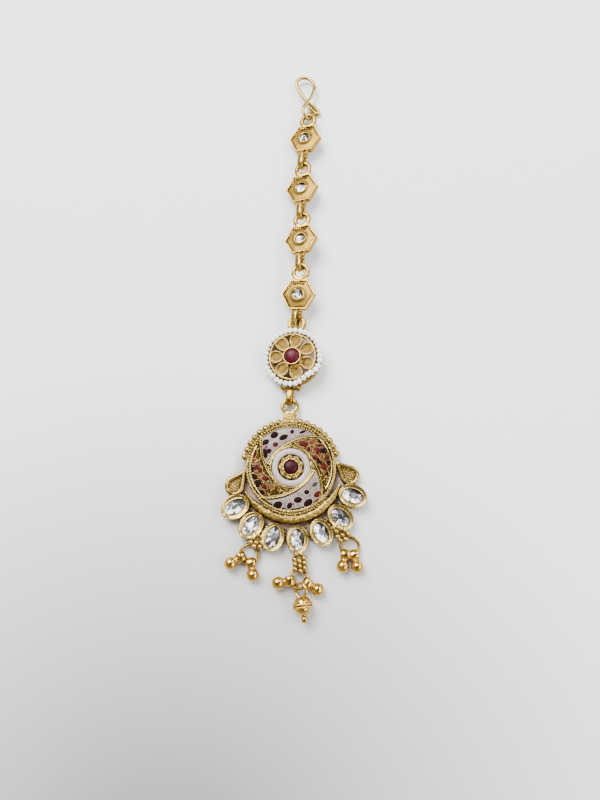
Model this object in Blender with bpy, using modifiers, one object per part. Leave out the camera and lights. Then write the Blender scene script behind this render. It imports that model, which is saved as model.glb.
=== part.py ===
"""Maang tikka in antique gold, lying on its back: hook, four hexagonal links, pearl disc and main pendant.

Everything is placed from the middle of the main pendant's medallion, with the hook towards +Y and the
fronts towards +Z. The last step centres the whole over the origin, with its lowest point at z = 0.
"""

import math

import bmesh
import bpy
from mathutils import Euler, Matrix, Vector

MM = 0.001

# Clearances
STONE_GAP = 0.15 * MM  # between a stone or an enamel piece and the metal that holds it
LINK_GAP = 0.45 * MM  # between an eye and the tab loop that passes through it
RING_GAP = 0.2 * MM  # round a jump ring's wire where it passes an eyelet
SOLDER = 0.12 * MM  # how deep soldered shapes sink into each other
ROUND_SIDES = 16
WIDE_SIDES = 40

# Hexagonal links
LINK_COUNT = 4
HEX_ACROSS_FLATS = 7.8 * MM
HEX_PLATE = 0.9 * MM
HEX_RIM_WIDTH = 0.4 * MM
HEX_RIM_RISE = 0.6 * MM
BEZEL_FOOT_RADIUS = 2.25 * MM
BEZEL_LIP_RADIUS = 1.75 * MM
BEZEL_RISE = 0.9 * MM
LINK_STONE_RADIUS = 1.35 * MM
LINK_STONE_HEIGHT = 1.0 * MM

# Eye rings and tab loops, shared by the links and the disc
EYE_RADIUS = 2.4 * MM
EYE_BAND = 0.95 * MM
EYE_THICKNESS = 0.84 * MM
EYE_SINK = 0.1 * MM
BRIDGE_WIDTH = 2.2 * MM  # of the bar between an eye and its plate
BRIDGE_REACH = 0.4 * MM
TAB_WIDTH = 1.4 * MM
TAB_STRAP = 0.7 * MM
TAB_HEIGHT = 3.0 * MM
TAB_REACH = 5.15 * MM  # how far a link's loop stands out past its plate
PRONG_RADIUS = 0.55 * MM  # the ball beside the loop
PRONG_REACH = 1.4 * MM  # from the link's edge to the ball's middle

# Pearl disc
FLANGE_RADIUS = 7.35 * MM
FLANGE_THICKNESS = 0.8 * MM
DISC_RIM_RADIUS = 6.1 * MM
DISC_RIM_WIDTH = 0.45 * MM
DISC_RIM_RISE = 1.7 * MM
PEARL_COUNT = 34
PEARL_RADIUS = 0.68 * MM
PEARL_THREAD = 0.24 * MM
PETAL_COUNT = 7
PETAL_SIDES = 10
PETAL_FIRST = 82  # degrees from the disc's X axis to the first petal
PETAL_HALF_WIDTH = 1.6 * MM
PETAL_WIRE = 0.36 * MM
PETAL_PLATE = 0.5 * MM
PETAL_RISE = 0.35 * MM
FLOWER_DROP = 0.35 * MM  # from the top of the disc's rim to the top of the petal wires
DISC_BEZEL_RADIUS = 2.3 * MM
DISC_BEZEL_LIP = 0.4 * MM
DISC_BEZEL_RISE = 1.0 * MM  # above the petal wires
DISC_RUBY_DOME = 0.7 * MM
DISC_BALL_RADIUS = 0.8 * MM
DISC_EYE_SINK = 0.75 * MM
DISC_TONGUE_WIDTH = 2.8 * MM
DISC_TAB_REACH = 4.97 * MM

# Main pendant: medallion
PENDANT_LEAN = 5.3  # degrees, anticlockwise
MEDALLION_RADIUS = 11.05 * MM
MEDALLION_WALL = 0.85 * MM
MEDALLION_BASE = 0.8 * MM
MEDALLION_RISE = 2.2 * MM
SWEEP_COUNT = 4
SWEEP_TANGENT_RADIUS = 5.15 * MM
SWEEP_RADIUS = 12.8 * MM
SWEEP_WIRE = 0.4 * MM
SWEEP_LEAD = 15.5  # degrees about its own centre that a sweeping wire starts before it touches the ring
SWEEP_TURN = 41.2  # degrees from the pendant's X axis to the first point of touch
RING_WALL = 0.35 * MM
FIELD_HEIGHT = 1.5 * MM
ENAMEL_RING_HEIGHT = 1.9 * MM
COLLAR_RADIUS = 2.95 * MM
COLLAR_HEIGHT = 2.2 * MM
COLLAR_LOBES = 10
COLLAR_LOBE = 0.12 * MM
CENTRE_RUBY_RADIUS = 1.6 * MM
CENTRE_RUBY_DOME = 0.8 * MM

# Main pendant: what stands round the medallion
BEAD_RADIUS = 0.84 * MM
BEAD_PITCH = 8.8  # degrees
BEAD_FIRST = 12  # degrees above the pendant's own X axis
BEAD_COUNT = 18
CRESCENT_SPREAD = 1.25 * MM  # how much larger its outer circle is than the medallion
CRESCENT_DROP = 1.6 * MM  # its outer circle's centre, below the medallion's
CRESCENT_INNER_SPREAD = 2.55 * MM  # how much larger its inner circle is than the medallion
CRESCENT_TIP = 4.9 * MM  # how far below the medallion's middle its tips end
CRESCENT_HEIGHT = 2.4 * MM
OVAL_COUNT = 7
OVAL_STEP = 21.6  # degrees
OVAL_HALF_LENGTH = 3.48 * MM
OVAL_HALF_WIDTH = 2.83 * MM
OVAL_FOOT = 0.1 * MM  # how far the foot stands out past the bezel
OVAL_FOOT_HEIGHT = 1.0 * MM
OVAL_HEIGHT = 3.0 * MM
OVAL_RIM_END = 0.83 * MM
OVAL_RIM_SIDE = 1.13 * MM
OVAL_SEAT = 1.5 * MM
OVAL_STONE_HEIGHT = 1.2 * MM
SOLDER_BALL_RADIUS = 0.55 * MM  # of the balls that join neighbouring ovals
LEAF_RADIUS = 2.4 * MM
LEAF_LENGTH = 5.2 * MM  # from the middle of its round end to its tip
LEAF_RIM = 0.55 * MM
LEAF_BASE = 1.5 * MM
LEAF_HEIGHT = 2.2 * MM
LEAF_ANGLE = 4.0  # degrees above the pendant's own X axis where its tip meets the medallion's wall
LEAF_TURN = 50  # degrees that its tip points above the X axis
NECK_WIDTH = 3.0 * MM
NECK_FOOT_WIDTH = 5.0 * MM
PENDANT_EYE_RADIUS = 2.25 * MM
PENDANT_EYE_BAND = 0.9 * MM
PENDANT_EYE_HEIGHT = 1.68 * MM  # of its mid-plane, so that the disc's loop through it just clears the surface
NECK_LENGTH = 2.1 * MM  # from the medallion's wall to the edge of the eye
NECK_TURN = 4.2  # degrees, clockwise from the pendant's own Y axis

# Granule clusters and their eyelets
GRANULE_RADIUS = 0.62 * MM
GRANULE_PITCH = 1.12 * MM
CLUSTER_UNDERSIDE = 1.45 * MM
CLUSTER_PLATE = 0.55 * MM
EYELET_TUCK = 0.85 * MM  # from the cluster's middle to the eyelet's, along the cluster, past one granule
EYELET_RADIUS = 0.95 * MM
EYELET_WIDTH = 0.6 * MM

# Jump rings and drops
RING_RADIUS = 2.2 * MM  # to the middle of the wire
RING_WIRE = 0.3 * MM  # half its thickness
MIDDLE_RING_LIFT = 1.1 * MM
DROP_BALL_RADIUS = 1.43 * MM
DROP_LOOP_RADIUS = 1.25 * MM
DROP_LOOP_HOLE = 0.8 * MM
DROP_LOOP_WIDTH = 1.5 * MM
DROP_NECK = 0.1 * MM
DROP_NECK_RADIUS = 0.65 * MM
BOB_RADIUS = 2.35 * MM
BOB_LENGTH = 4.0 * MM
BOB_TIP_RADIUS = 0.72 * MM
BOB_STEM = 2.9 * MM  # from the middle of the bead to the middle of the tip ball
BAIL_RADIUS = 1.6 * MM
BAIL_LENGTH = 3.5 * MM  # from the middle of the bead to the middle of the bail's round end
BAIL_TURN = 40  # degrees
BAIL_WIRE = 0.31 * MM
BOB_LEAN = 8  # degrees that the centre drop leans to the right

# Hook
HOOK_WIRE = 0.35 * MM  # half its thickness
HOOK_LENGTH = 14.2 * MM  # from the first eye's middle to the top of the loop
HOOK_WIDTH = 4.9 * MM  # across the middle of the loop's wire

# How each linked piece lies, in degrees: lean clockwise, pitch with its lower end up, roll with its right side up,
# and the slack in its loop as a share of the loop's reach
LAY = {
    "link_1": {"lean": 6.0, "pitch": 1.5, "roll": 20, "slack": 0.0},
    "link_2": {"lean": 1.0, "pitch": 2.5, "roll": 22, "slack": 0.0},
    "link_3": {"lean": 1.0, "pitch": 5.0, "roll": 20, "slack": 0.02},
    "link_4": {"lean": 4.0, "pitch": -6.0, "roll": 15, "slack": 0.31},
    "disc": {"lean": 5.0, "pitch": -3.0, "roll": 10, "slack": 0.0},
}

# The hook's route over the first eye: across as a share of its width, along as a share of its length,
# both from the eye's middle, and the height above the eye's mid-plane as a share of the eye's thickness
HOOK_ROUTE = [
    {"across": 0.64, "along": 0.20, "height": -1.30},
    {"across": 0.34, "along": 0.29, "height": -1.10},
    {"across": -0.01, "along": 0.40, "height": -0.75},
    {"across": -0.33, "along": 0.61, "height": -0.55},
    {"across": -0.63, "along": 0.80, "height": -0.50},
    {"across": -0.61, "along": 0.93, "height": -0.50},
    {"across": -0.27, "along": 1.00, "height": -0.45},
    {"across": 0.14, "along": 0.95, "height": -0.40},
    {"across": 0.36, "along": 0.79, "height": -0.20},
    {"across": 0.25, "along": 0.60, "height": 0.10},
    {"across": 0.04, "along": 0.43, "height": 0.60},
    {"across": -0.20, "along": 0.29, "height": 1.20},
    {"across": -0.31, "along": 0.175, "height": 1.45},
    {"across": -0.16, "along": 0.065, "height": 1.05},
    {"across": 0.04, "along": 0.030, "height": 0.00},
    {"across": 0.20, "along": 0.085, "height": -0.95},
    {"across": 0.33, "along": 0.165, "height": -1.15},
    {"across": 0.27, "along": 0.225, "height": -0.55},
    {"across": 0.10, "along": 0.29, "height": 0.05},
]

# The granule clusters about the ovals' own centre: turn from straight down in degrees, how far the cluster's middle
# lies past the ovals' circle as a share of half an oval's length, and the way from the eyelet to its jump ring
CLUSTERS = [
    {"name": "left", "turn": -32.4, "past": 0.59, "rows": (2, 3, 3), "ring_way": 237},
    {"name": "middle", "turn": 0.0, "past": 1.63, "rows": (3, 3, 3), "ring_way": 262},
    {"name": "right", "turn": 34.5, "past": 0.82, "rows": (2, 3, 3), "ring_way": 300},
]

# Where the drops hang: their jump ring, the loop's place round it and the way to the ball, in degrees
DROPS = [
    {"ring": "left", "loop": 200, "ball": 212},
    {"ring": "left", "loop": 281, "ball": 280},
    {"ring": "middle", "loop": 190, "ball": 190},
    {"ring": "middle", "loop": 334, "ball": 331},
    {"ring": "right", "loop": 240, "ball": 256},
    {"ring": "right", "loop": 298, "ball": 283},
]

GOLD = (0.62, 0.43, 0.17)
BRIGHT_GOLD = (0.72, 0.48, 0.20)
PALE_GOLD = (0.74, 0.64, 0.36)


def material(name, colour, metallic=0.0, roughness=0.4):
    made = bpy.data.materials.new(name)
    made.use_nodes = True
    shader = made.node_tree.nodes["Principled BSDF"]
    shader.inputs["Base Color"].default_value = (*colour, 1.0)
    shader.inputs["Metallic"].default_value = metallic
    shader.inputs["Roughness"].default_value = roughness
    made.diffuse_color = (*colour, 1.0)
    return made


# Shapes: each is a mesh object in the shapes collection, until a piece takes it up


def shape_from_bmesh(bm, name="shape"):
    mesh = bpy.data.meshes.new(name)
    bm.to_mesh(mesh)
    bm.free()
    shape = bpy.data.objects.new(name, mesh)
    shapes_collection.objects.link(shape)
    return shape


def shape_from_curve(curve, place=None):
    """The mesh of a curve drawn in millimetres, with its caps welded on, as a shape."""
    holder = bpy.data.objects.new("curve", curve)
    shapes_collection.objects.link(holder)
    graph = bpy.context.evaluated_depsgraph_get()
    mesh = bpy.data.meshes.new_from_object(holder.evaluated_get(graph))
    bpy.data.objects.remove(holder)
    bpy.data.curves.remove(curve)
    bm = bmesh.new()
    bm.from_mesh(mesh)
    bpy.data.meshes.remove(mesh)
    bmesh.ops.remove_doubles(bm, verts=bm.verts, dist=1e-4)
    bmesh.ops.recalc_face_normals(bm, faces=bm.faces)
    bmesh.ops.scale(bm, verts=bm.verts, vec=(MM, MM, MM))
    if place is not None:
        bmesh.ops.transform(bm, matrix=place, verts=bm.verts)
    return shape_from_bmesh(bm)


def flat(outlines, low, high, place=None):
    """Flat outlines in XY, the inner ones holes, made solid from low to high in Z."""
    curve = bpy.data.curves.new("outline", "CURVE")
    curve.dimensions = "2D"
    curve.fill_mode = "BOTH"
    curve.extrude = (high - low) / 2 / MM
    for outline in outlines:
        spline = curve.splines.new("POLY")
        spline.points.add(len(outline) - 1)
        for point, (x, y) in zip(spline.points, outline):
            point.co = (x / MM, y / MM, 0, 1)
        spline.use_cyclic_u = True
    lift = Matrix.Translation((0, 0, (high + low) / 2))
    return shape_from_curve(curve, lift if place is None else place @ lift)


def wire(route, radius, closed=False, sides_level=1, swell=None):
    """A round wire along the route. Swell holds each point's share of the radius."""
    curve = bpy.data.curves.new("wire", "CURVE")
    curve.dimensions = "3D"
    curve.bevel_depth = radius / MM
    curve.bevel_resolution = sides_level
    curve.use_fill_caps = not closed
    spline = curve.splines.new("POLY")
    spline.points.add(len(route) - 1)
    for index, (point, place) in enumerate(zip(spline.points, route)):
        point.co = (*(Vector(place) / MM), 1)
        point.radius = swell[index] if swell else 1.0
    spline.use_cyclic_u = closed
    return shape_from_curve(curve)


def turned(profile, sides=ROUND_SIDES, place=None, closed=False):
    """A profile of (radius, height) rows, turned about Z. An open profile runs from the axis to the axis."""
    bm = bmesh.new()
    points = [bm.verts.new((radius, 0, height)) for radius, height in profile]
    for first, second in zip(points, points[1:]):
        bm.edges.new((first, second))
    if closed:
        bm.edges.new((points[-1], points[0]))
    shape = shape_from_bmesh(bm, "turned")
    screw = shape.modifiers.new("Screw", "SCREW")
    screw.steps = sides
    screw.render_steps = sides
    screw.use_merge_vertices = True
    screw.merge_threshold = 1e-7
    graph = bpy.context.evaluated_depsgraph_get()
    mesh = bpy.data.meshes.new_from_object(shape.evaluated_get(graph))
    bpy.data.objects.remove(shape)
    bm = bmesh.new()
    bm.from_mesh(mesh)
    bpy.data.meshes.remove(mesh)
    bmesh.ops.remove_doubles(bm, verts=bm.verts, dist=1e-7)
    bmesh.ops.recalc_face_normals(bm, faces=bm.faces)
    if place is not None:
        bmesh.ops.transform(bm, matrix=place, verts=bm.verts)
    return shape_from_bmesh(bm, "turned")


def drum(radius, low, high, sides=ROUND_SIDES, centre=(0, 0)):
    bm = bmesh.new()
    bmesh.ops.create_cone(
        bm, cap_ends=True, segments=sides, radius1=radius, radius2=radius, depth=high - low
    )
    bmesh.ops.translate(bm, verts=bm.verts, vec=(*centre, (high + low) / 2))
    return shape_from_bmesh(bm, "drum")


# A small turn, so that no corner of one ball falls on the edge of another shape
BALL_TURN = Euler((0.21, 0.34, 0.13)).to_matrix()


def ball(centre, radius, around=8, rings=4):
    bm = bmesh.new()
    bmesh.ops.create_uvsphere(bm, u_segments=around, v_segments=rings, radius=radius)
    bmesh.ops.rotate(bm, verts=bm.verts, matrix=BALL_TURN)
    bmesh.ops.translate(bm, verts=bm.verts, vec=centre)
    return shape_from_bmesh(bm, "ball")


def oval_stack(rings, sides=ROUND_SIDES):
    """A closed solid through level ovals, or hexagons with six sides: rows of half length, half width, height."""
    bm = bmesh.new()
    bmesh.ops.create_circle(bm, cap_ends=True, segments=sides, radius=1.0)
    bmesh.ops.rotate(bm, verts=bm.verts, matrix=Matrix.Rotation(math.pi / 2, 3, "Z"))
    bmesh.ops.scale(bm, verts=bm.verts, vec=(rings[0][0], rings[0][1], 1.0))
    bmesh.ops.translate(bm, verts=bm.verts, vec=(0, 0, rings[0][2]))
    top = list(bm.faces)
    for below, row in zip(rings, rings[1:]):
        made = bmesh.ops.extrude_face_region(bm, geom=top)
        if below is not rings[0]:
            bmesh.ops.delete(bm, geom=top, context="FACES_ONLY")
        corners = [item for item in made["geom"] if isinstance(item, bmesh.types.BMVert)]
        top = [item for item in made["geom"] if isinstance(item, bmesh.types.BMFace)]
        bmesh.ops.scale(bm, verts=corners, vec=(row[0] / below[0], row[1] / below[1], 1.0))
        bmesh.ops.translate(bm, verts=corners, vec=(0, 0, row[2] - below[2]))
    bmesh.ops.recalc_face_normals(bm, faces=bm.faces)
    return shape_from_bmesh(bm, "oval")


def moved(shape, place):
    shape.data.transform(place)
    return shape


def combine(body, shapes, operation):
    """Adds a Boolean with all the shapes at once."""
    if not shapes:
        return
    group = bpy.data.collections.new(operation.title())
    bpy.context.scene.collection.children.link(group)
    for shape in shapes:
        group.objects.link(shape)
    boolean = body.modifiers.new(operation.title(), "BOOLEAN")
    boolean.operation = operation
    boolean.operand_type = "COLLECTION"
    boolean.collection = group
    boolean.solver = "EXACT"


def piece(name, shapes, made_of, cuts=(), keep=None, place=None):
    """One closed body: the shapes united, only what is inside keep, less the cuts."""
    body = shapes[0]
    combine(body, shapes[1:], "UNION")
    if keep is not None:
        boolean = body.modifiers.new("Keep", "BOOLEAN")
        boolean.operation = "INTERSECT"
        boolean.object = keep
        boolean.solver = "EXACT"
    combine(body, cuts, "DIFFERENCE")
    graph = bpy.context.evaluated_depsgraph_get()
    mesh = bpy.data.meshes.new_from_object(body.evaluated_get(graph))
    mesh.name = name
    mesh.materials.clear()
    mesh.materials.append(made_of)
    mesh.shade_smooth()
    mesh.set_sharp_from_angle(angle=math.radians(35))
    groups = [modifier.collection for modifier in body.modifiers if modifier.collection]
    for used in [*shapes, *cuts, *([keep] if keep else [])]:
        bpy.data.objects.remove(used)
    for group in groups:
        bpy.data.collections.remove(group)
    return copy_of(mesh, name, place)


def copy_of(mesh, name, place=None):
    made = bpy.data.objects.new(name, mesh)
    parts_collection.objects.link(made)
    made.parent = whole
    if place is not None:
        made.matrix_local = place
    return made


# Outlines


def circle(radius, sides, centre=(0.0, 0.0), start=0.0, sweep=math.tau):
    """Points round a circle, or along an arc of it with both ends."""
    count = sides if sweep >= math.tau else sides + 1
    return [
        (
            centre[0] + radius * math.cos(start + sweep * step / sides),
            centre[1] + radius * math.sin(start + sweep * step / sides),
        )
        for step in range(count)
    ]


def hexagon(across_flats):
    return circle(across_flats / math.sqrt(3), 6)


def oval(half_length, half_width, sides):
    return [(x * half_length, y * half_width) for x, y in circle(1.0, sides)]


def stadium(length, height):
    """A slot outline centred on the origin, its round ends at both ends of X."""
    run = length / 2 - height / 2
    right = circle(height / 2, 5, (run, 0), -math.pi / 2, math.pi)
    left = circle(height / 2, 5, (-run, 0), math.pi / 2, math.pi)
    return right + left


def leaf(radius, length, inset=0.0):
    """A teardrop, its round end about the origin and its tip at +X."""
    spread = math.acos(radius / length)
    round_end = circle(radius - inset, 12, (0, 0), spread, math.tau - 2 * spread)
    return [*round_end, (length - inset * length / radius, 0)]


def arc_strip(centre, radius, width, start, end, steps):
    outer = circle(radius + width / 2, steps, centre, start, end - start)
    inner = circle(radius - width / 2, steps, centre, start, end - start)
    return outer + inner[::-1]


def along(angle, distance, centre=(0.0, 0.0)):
    return Vector((centre[0] + distance * math.cos(angle), centre[1] + distance * math.sin(angle)))


UPRIGHT = Matrix.Rotation(math.pi / 2, 4, "X")
UPRIGHT_ALONG_Y = Matrix.Rotation(math.pi / 2, 4, "Z") @ UPRIGHT

# Linked pieces


def eye(offset):
    """A flat ring whose middle lies at the offset along +Y."""
    inner = circle(EYE_RADIUS - EYE_BAND, ROUND_SIDES, (0, offset))
    outer = circle(EYE_RADIUS, ROUND_SIDES, (0, offset))
    return flat([outer, inner], -EYE_THICKNESS / 2, EYE_THICKNESS / 2)


def tab(start, end):
    """A strap loop, upright, from its start to its end along -Y."""
    length = end - start
    middle = Matrix.Translation((0, -(start + end) / 2, 0))
    inner_height = TAB_HEIGHT - 2 * TAB_STRAP
    loops = [stadium(length, TAB_HEIGHT), stadium(length - 2 * TAB_STRAP, inner_height)]
    return flat(loops, -TAB_WIDTH / 2, TAB_WIDTH / 2, middle @ UPRIGHT_ALONG_Y)


def hold_point(end, band):
    """Where the next eye's band lies in a tab loop that ends there."""
    return Vector((0, -(end - TAB_STRAP - LINK_GAP - band / 2), 0))


def link_stone(name, place):
    """A round cut stone: pavilion below, girdle, crown and table."""
    girdle = LINK_STONE_RADIUS
    rows = [
        (0.35 * girdle, 0.35 * girdle, 0.0),
        (girdle, girdle, 0.55 * LINK_STONE_HEIGHT),
        (girdle, girdle, 0.65 * LINK_STONE_HEIGHT),
        (0.6 * girdle, 0.6 * girdle, LINK_STONE_HEIGHT),
    ]
    seat = HEX_PLATE / 2 + BEZEL_RISE - LINK_STONE_HEIGHT + STONE_GAP
    lift = Matrix.Translation((0, 0, seat))
    return piece(name, [moved(oval_stack(rows, 8), lift)], clear_stone, place=place)


def link_casting():
    """One hexagonal link about the middle of its plate."""
    half = HEX_ACROSS_FLATS / 2
    plate_top = HEX_PLATE / 2
    corner = HEX_ACROSS_FLATS / math.sqrt(3)
    inside = (HEX_ACROSS_FLATS - 2 * HEX_RIM_WIDTH) / math.sqrt(3)
    rim_top = plate_top + HEX_RIM_RISE
    rows = [
        (corner, corner, -plate_top),
        (corner, corner, rim_top),
        (inside, inside, rim_top),
        (inside, inside, plate_top),
    ]
    plate = oval_stack(rows, 6)
    bezel = turned(
        [
            (0, plate_top + BEZEL_RISE),
            (BEZEL_LIP_RADIUS, plate_top + BEZEL_RISE),
            (BEZEL_FOOT_RADIUS, plate_top - SOLDER),
            (0, plate_top - SOLDER),
        ],
        12,
    )
    recess_floor = plate_top + BEZEL_RISE - LINK_STONE_HEIGHT
    recess = drum(LINK_STONE_RADIUS + STONE_GAP, recess_floor, plate_top + 2 * BEZEL_RISE, 12)
    side = TAB_WIDTH / 2 + PRONG_RADIUS - SOLDER
    prong = ball((side, -half - PRONG_REACH, (TAB_HEIGHT - TAB_STRAP) / 2), PRONG_RADIUS)
    loop = tab(half - 0.75 * HEX_RIM_WIDTH, half + TAB_REACH)
    across = BRIDGE_WIDTH / 2
    start = half - HEX_RIM_WIDTH / 2
    end = half + BRIDGE_REACH
    bridge_outline = [(-across, start), (across, start), (across, end), (-across, end)]
    bridge = flat([bridge_outline], -EYE_THICKNESS / 2 + SOLDER, EYE_THICKNESS / 2 - SOLDER)
    return [plate, bezel, eye(link_eye_offset()), bridge, loop, prong], [recess]


def link_eye_offset():
    return HEX_ACROSS_FLATS / 2 + EYE_RADIUS - EYE_SINK


def disc_eye_offset():
    return FLANGE_RADIUS + EYE_RADIUS - DISC_EYE_SINK


def laid(name):
    """How a linked piece is turned, from its row in LAY."""
    row = LAY[name]
    lean = Matrix.Rotation(math.radians(-row["lean"]), 4, "Z")
    pitch = Matrix.Rotation(math.radians(-row["pitch"]), 4, "X")
    roll = Matrix.Rotation(math.radians(-row["roll"]), 4, "Y")
    return lean @ pitch @ roll


def hung_on(name, hold, carried_band):
    """The place of a piece whose hold point, less its slack, meets the band of the eye below it."""
    turn = laid(name)
    slack = Vector((0, LAY[name]["slack"] * TAB_REACH, 0))
    return Matrix.Translation(carried_band - turn @ (hold + slack)) @ turn


def band_of(place, offset):
    """The middle of an eye's band at its far side, where the next loop holds it."""
    return place @ Vector((0, offset + EYE_RADIUS - EYE_BAND / 2, 0))


# Pearl disc


def pearl_circle():
    return DISC_RIM_RADIUS + STONE_GAP + PEARL_RADIUS


def pearl_height():
    return max(FLANGE_THICKNESS, EYE_THICKNESS) / 2 + STONE_GAP + PEARL_RADIUS


def flower_top():
    return FLANGE_THICKNESS / 2 + DISC_RIM_RISE - FLOWER_DROP


def disc_casting():
    """The disc's metal about the middle of its flange, in one body."""
    low = -FLANGE_THICKNESS / 2
    rim_inside = DISC_RIM_RADIUS - DISC_RIM_WIDTH
    profile = [
        (rim_inside, low),
        (rim_inside, -low + DISC_RIM_RISE),
        (DISC_RIM_RADIUS, -low + DISC_RIM_RISE),
        (DISC_RIM_RADIUS, -low),
        (FLANGE_RADIUS, -low),
        (FLANGE_RADIUS, low),
    ]
    shapes = [turned(profile, WIDE_SIDES, closed=True), eye(disc_eye_offset())]
    wire_top = flower_top()
    plate_top = wire_top - PETAL_RISE
    petal_inside = DISC_BEZEL_RADIUS - SOLDER
    petal_half = (rim_inside + SOLDER - petal_inside) / 2
    for petal in range(PETAL_COUNT):
        turn = Matrix.Rotation(math.radians(PETAL_FIRST) + math.tau * petal / PETAL_COUNT, 4, "Z")
        place = turn @ Matrix.Translation((petal_inside + petal_half, 0, 0))
        outline = oval(petal_half, PETAL_HALF_WIDTH, PETAL_SIDES)
        inside = oval(petal_half - PETAL_WIRE, PETAL_HALF_WIDTH - PETAL_WIRE, PETAL_SIDES)
        floor = oval(petal_half - PETAL_WIRE / 2, PETAL_HALF_WIDTH - PETAL_WIRE / 2, PETAL_SIDES)
        shapes.append(flat([floor], plate_top - PETAL_PLATE, plate_top, place))
        shapes.append(flat([outline, inside], plate_top - 1.2 * PETAL_PLATE, wire_top, place))
    lip_top = wire_top + DISC_BEZEL_RISE
    shapes.append(drum(DISC_BEZEL_RADIUS, plate_top - 1.4 * PETAL_PLATE, lip_top))
    recess = drum(DISC_BEZEL_RADIUS - DISC_BEZEL_LIP, plate_top - SOLDER, 2 * lip_top)
    start = pearl_circle() + PEARL_RADIUS + STONE_GAP
    end = FLANGE_RADIUS + DISC_TAB_REACH
    shapes.append(tab(start, end))
    tongue_end = start + 0.8 * TAB_STRAP
    tongue_start = FLANGE_RADIUS - 2 * SOLDER
    half = DISC_TONGUE_WIDTH / 2
    tongue = [(-half, -tongue_end), (half, -tongue_end), (half, -tongue_start), (-half, -tongue_start)]
    shapes.append(flat([tongue], low + SOLDER, -low - SOLDER))
    for side in (-1, 1):
        middle = (side * (half + DISC_BALL_RADIUS - 2 * SOLDER), -(tongue_start + tongue_end) / 2, 0)
        shapes.append(ball(middle, DISC_BALL_RADIUS, 10, 5))
    return shapes, [recess]


def disc_ruby(place):
    radius = DISC_BEZEL_RADIUS - DISC_BEZEL_LIP - STONE_GAP
    floor = flower_top() - PETAL_RISE - SOLDER + STONE_GAP
    lip = flower_top() + DISC_BEZEL_RISE
    return piece("disc_ruby", [dome(radius, floor, lip - STONE_GAP, DISC_RUBY_DOME)], ruby, place=place)


def pearl_string(place):
    """The pearls and their thread as one wire round the disc, swelling at each pearl."""
    steps = [(0.2, 0.96), (0.5, PEARL_THREAD / PEARL_RADIUS), (0.8, 0.96)]
    route = []
    swell = []
    for bead in range(PEARL_COUNT):
        for share, radius_share in steps:
            angle = math.tau * (bead + share) / PEARL_COUNT
            route.append((*along(angle, pearl_circle()), pearl_height()))
            swell.append(radius_share)
    string = wire(route, PEARL_RADIUS, closed=True, sides_level=2, swell=swell)
    return piece("pearl_string", [string], pearl, place=place)


# Main pendant


def ovals_centre():
    return Vector((0, -CRESCENT_DROP))


def crescent_radius():
    return MEDALLION_RADIUS + CRESCENT_SPREAD


def ovals_radius():
    return crescent_radius() + OVAL_HALF_LENGTH + OVAL_FOOT - SOLDER


def oval_places():
    """Where each oval stands, its length pointing away from the ovals' own centre."""
    places = []
    for index in range(OVAL_COUNT):
        turn = -math.pi / 2 + math.radians(OVAL_STEP) * (index - (OVAL_COUNT - 1) / 2)
        middle = along(turn, ovals_radius(), ovals_centre())
        places.append(Matrix.Translation((*middle, 0)) @ Matrix.Rotation(turn, 4, "Z"))
    return places


def sweep_centre(index):
    """A sweeping wire's circle: where its middle is, and the way from there to where it touches the ring."""
    way = math.radians(SWEEP_TURN) + math.tau * index / SWEEP_COUNT
    return along(way + math.pi, SWEEP_RADIUS - SWEEP_TANGENT_RADIUS), way


def sweep_wire(index):
    """One sweeping wire, from before its touch on the ring, clockwise to the medallion's wall."""
    centre, way = sweep_centre(index)
    offset = SWEEP_RADIUS - SWEEP_TANGENT_RADIUS
    reach = MEDALLION_RADIUS - MEDALLION_WALL / 2
    swing = math.acos((SWEEP_RADIUS**2 + offset**2 - reach**2) / (2 * SWEEP_RADIUS * offset))
    outline = arc_strip(centre, SWEEP_RADIUS, SWEEP_WIRE, way - swing, way + math.radians(SWEEP_LEAD), 8)
    return flat([outline], MEDALLION_BASE / 2, MEDALLION_BASE + MEDALLION_RISE - SOLDER)


def medallion_shapes():
    wall_top = MEDALLION_BASE + MEDALLION_RISE
    ring_top = MEDALLION_BASE + ENAMEL_RING_HEIGHT
    profile = [
        (0, MEDALLION_BASE),
        (SWEEP_TANGENT_RADIUS - RING_WALL, MEDALLION_BASE),
        (SWEEP_TANGENT_RADIUS - RING_WALL, ring_top),
        (SWEEP_TANGENT_RADIUS, ring_top),
        (SWEEP_TANGENT_RADIUS, MEDALLION_BASE),
        (MEDALLION_RADIUS - MEDALLION_WALL, MEDALLION_BASE),
        (MEDALLION_RADIUS - MEDALLION_WALL, wall_top),
        (MEDALLION_RADIUS, wall_top),
        (MEDALLION_RADIUS, 0),
        (0, 0),
    ]
    shapes = [turned(profile, WIDE_SIDES)]
    shapes.extend(sweep_wire(index) for index in range(SWEEP_COUNT))
    circle_radius = MEDALLION_RADIUS + BEAD_RADIUS - SOLDER
    for index in range(BEAD_COUNT):
        way = math.radians(BEAD_FIRST + BEAD_PITCH * index)
        shapes.append(ball((*along(way, circle_radius), BEAD_RADIUS * 2), BEAD_RADIUS))
    return shapes


def crescent_shape():
    """The crescent below the medallion, between two circles and cut off at its tips."""
    outer_centre = (0, -CRESCENT_DROP)
    touch = MEDALLION_RADIUS - SOLDER
    outer_radius = crescent_radius()
    inner_radius = MEDALLION_RADIUS + CRESCENT_INNER_SPREAD
    inner_centre = (0, inner_radius - touch)
    outer_end = math.asin((CRESCENT_TIP + outer_centre[1]) / outer_radius)
    inner_end = math.asin((CRESCENT_TIP + inner_centre[1]) / inner_radius)
    outer = circle(outer_radius, 18, outer_centre, math.pi + outer_end, math.pi - 2 * outer_end)
    inner = circle(inner_radius, 18, inner_centre, math.pi + inner_end, math.pi - 2 * inner_end)
    return flat([outer + inner[::-1]], 0, CRESCENT_HEIGHT)


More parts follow.
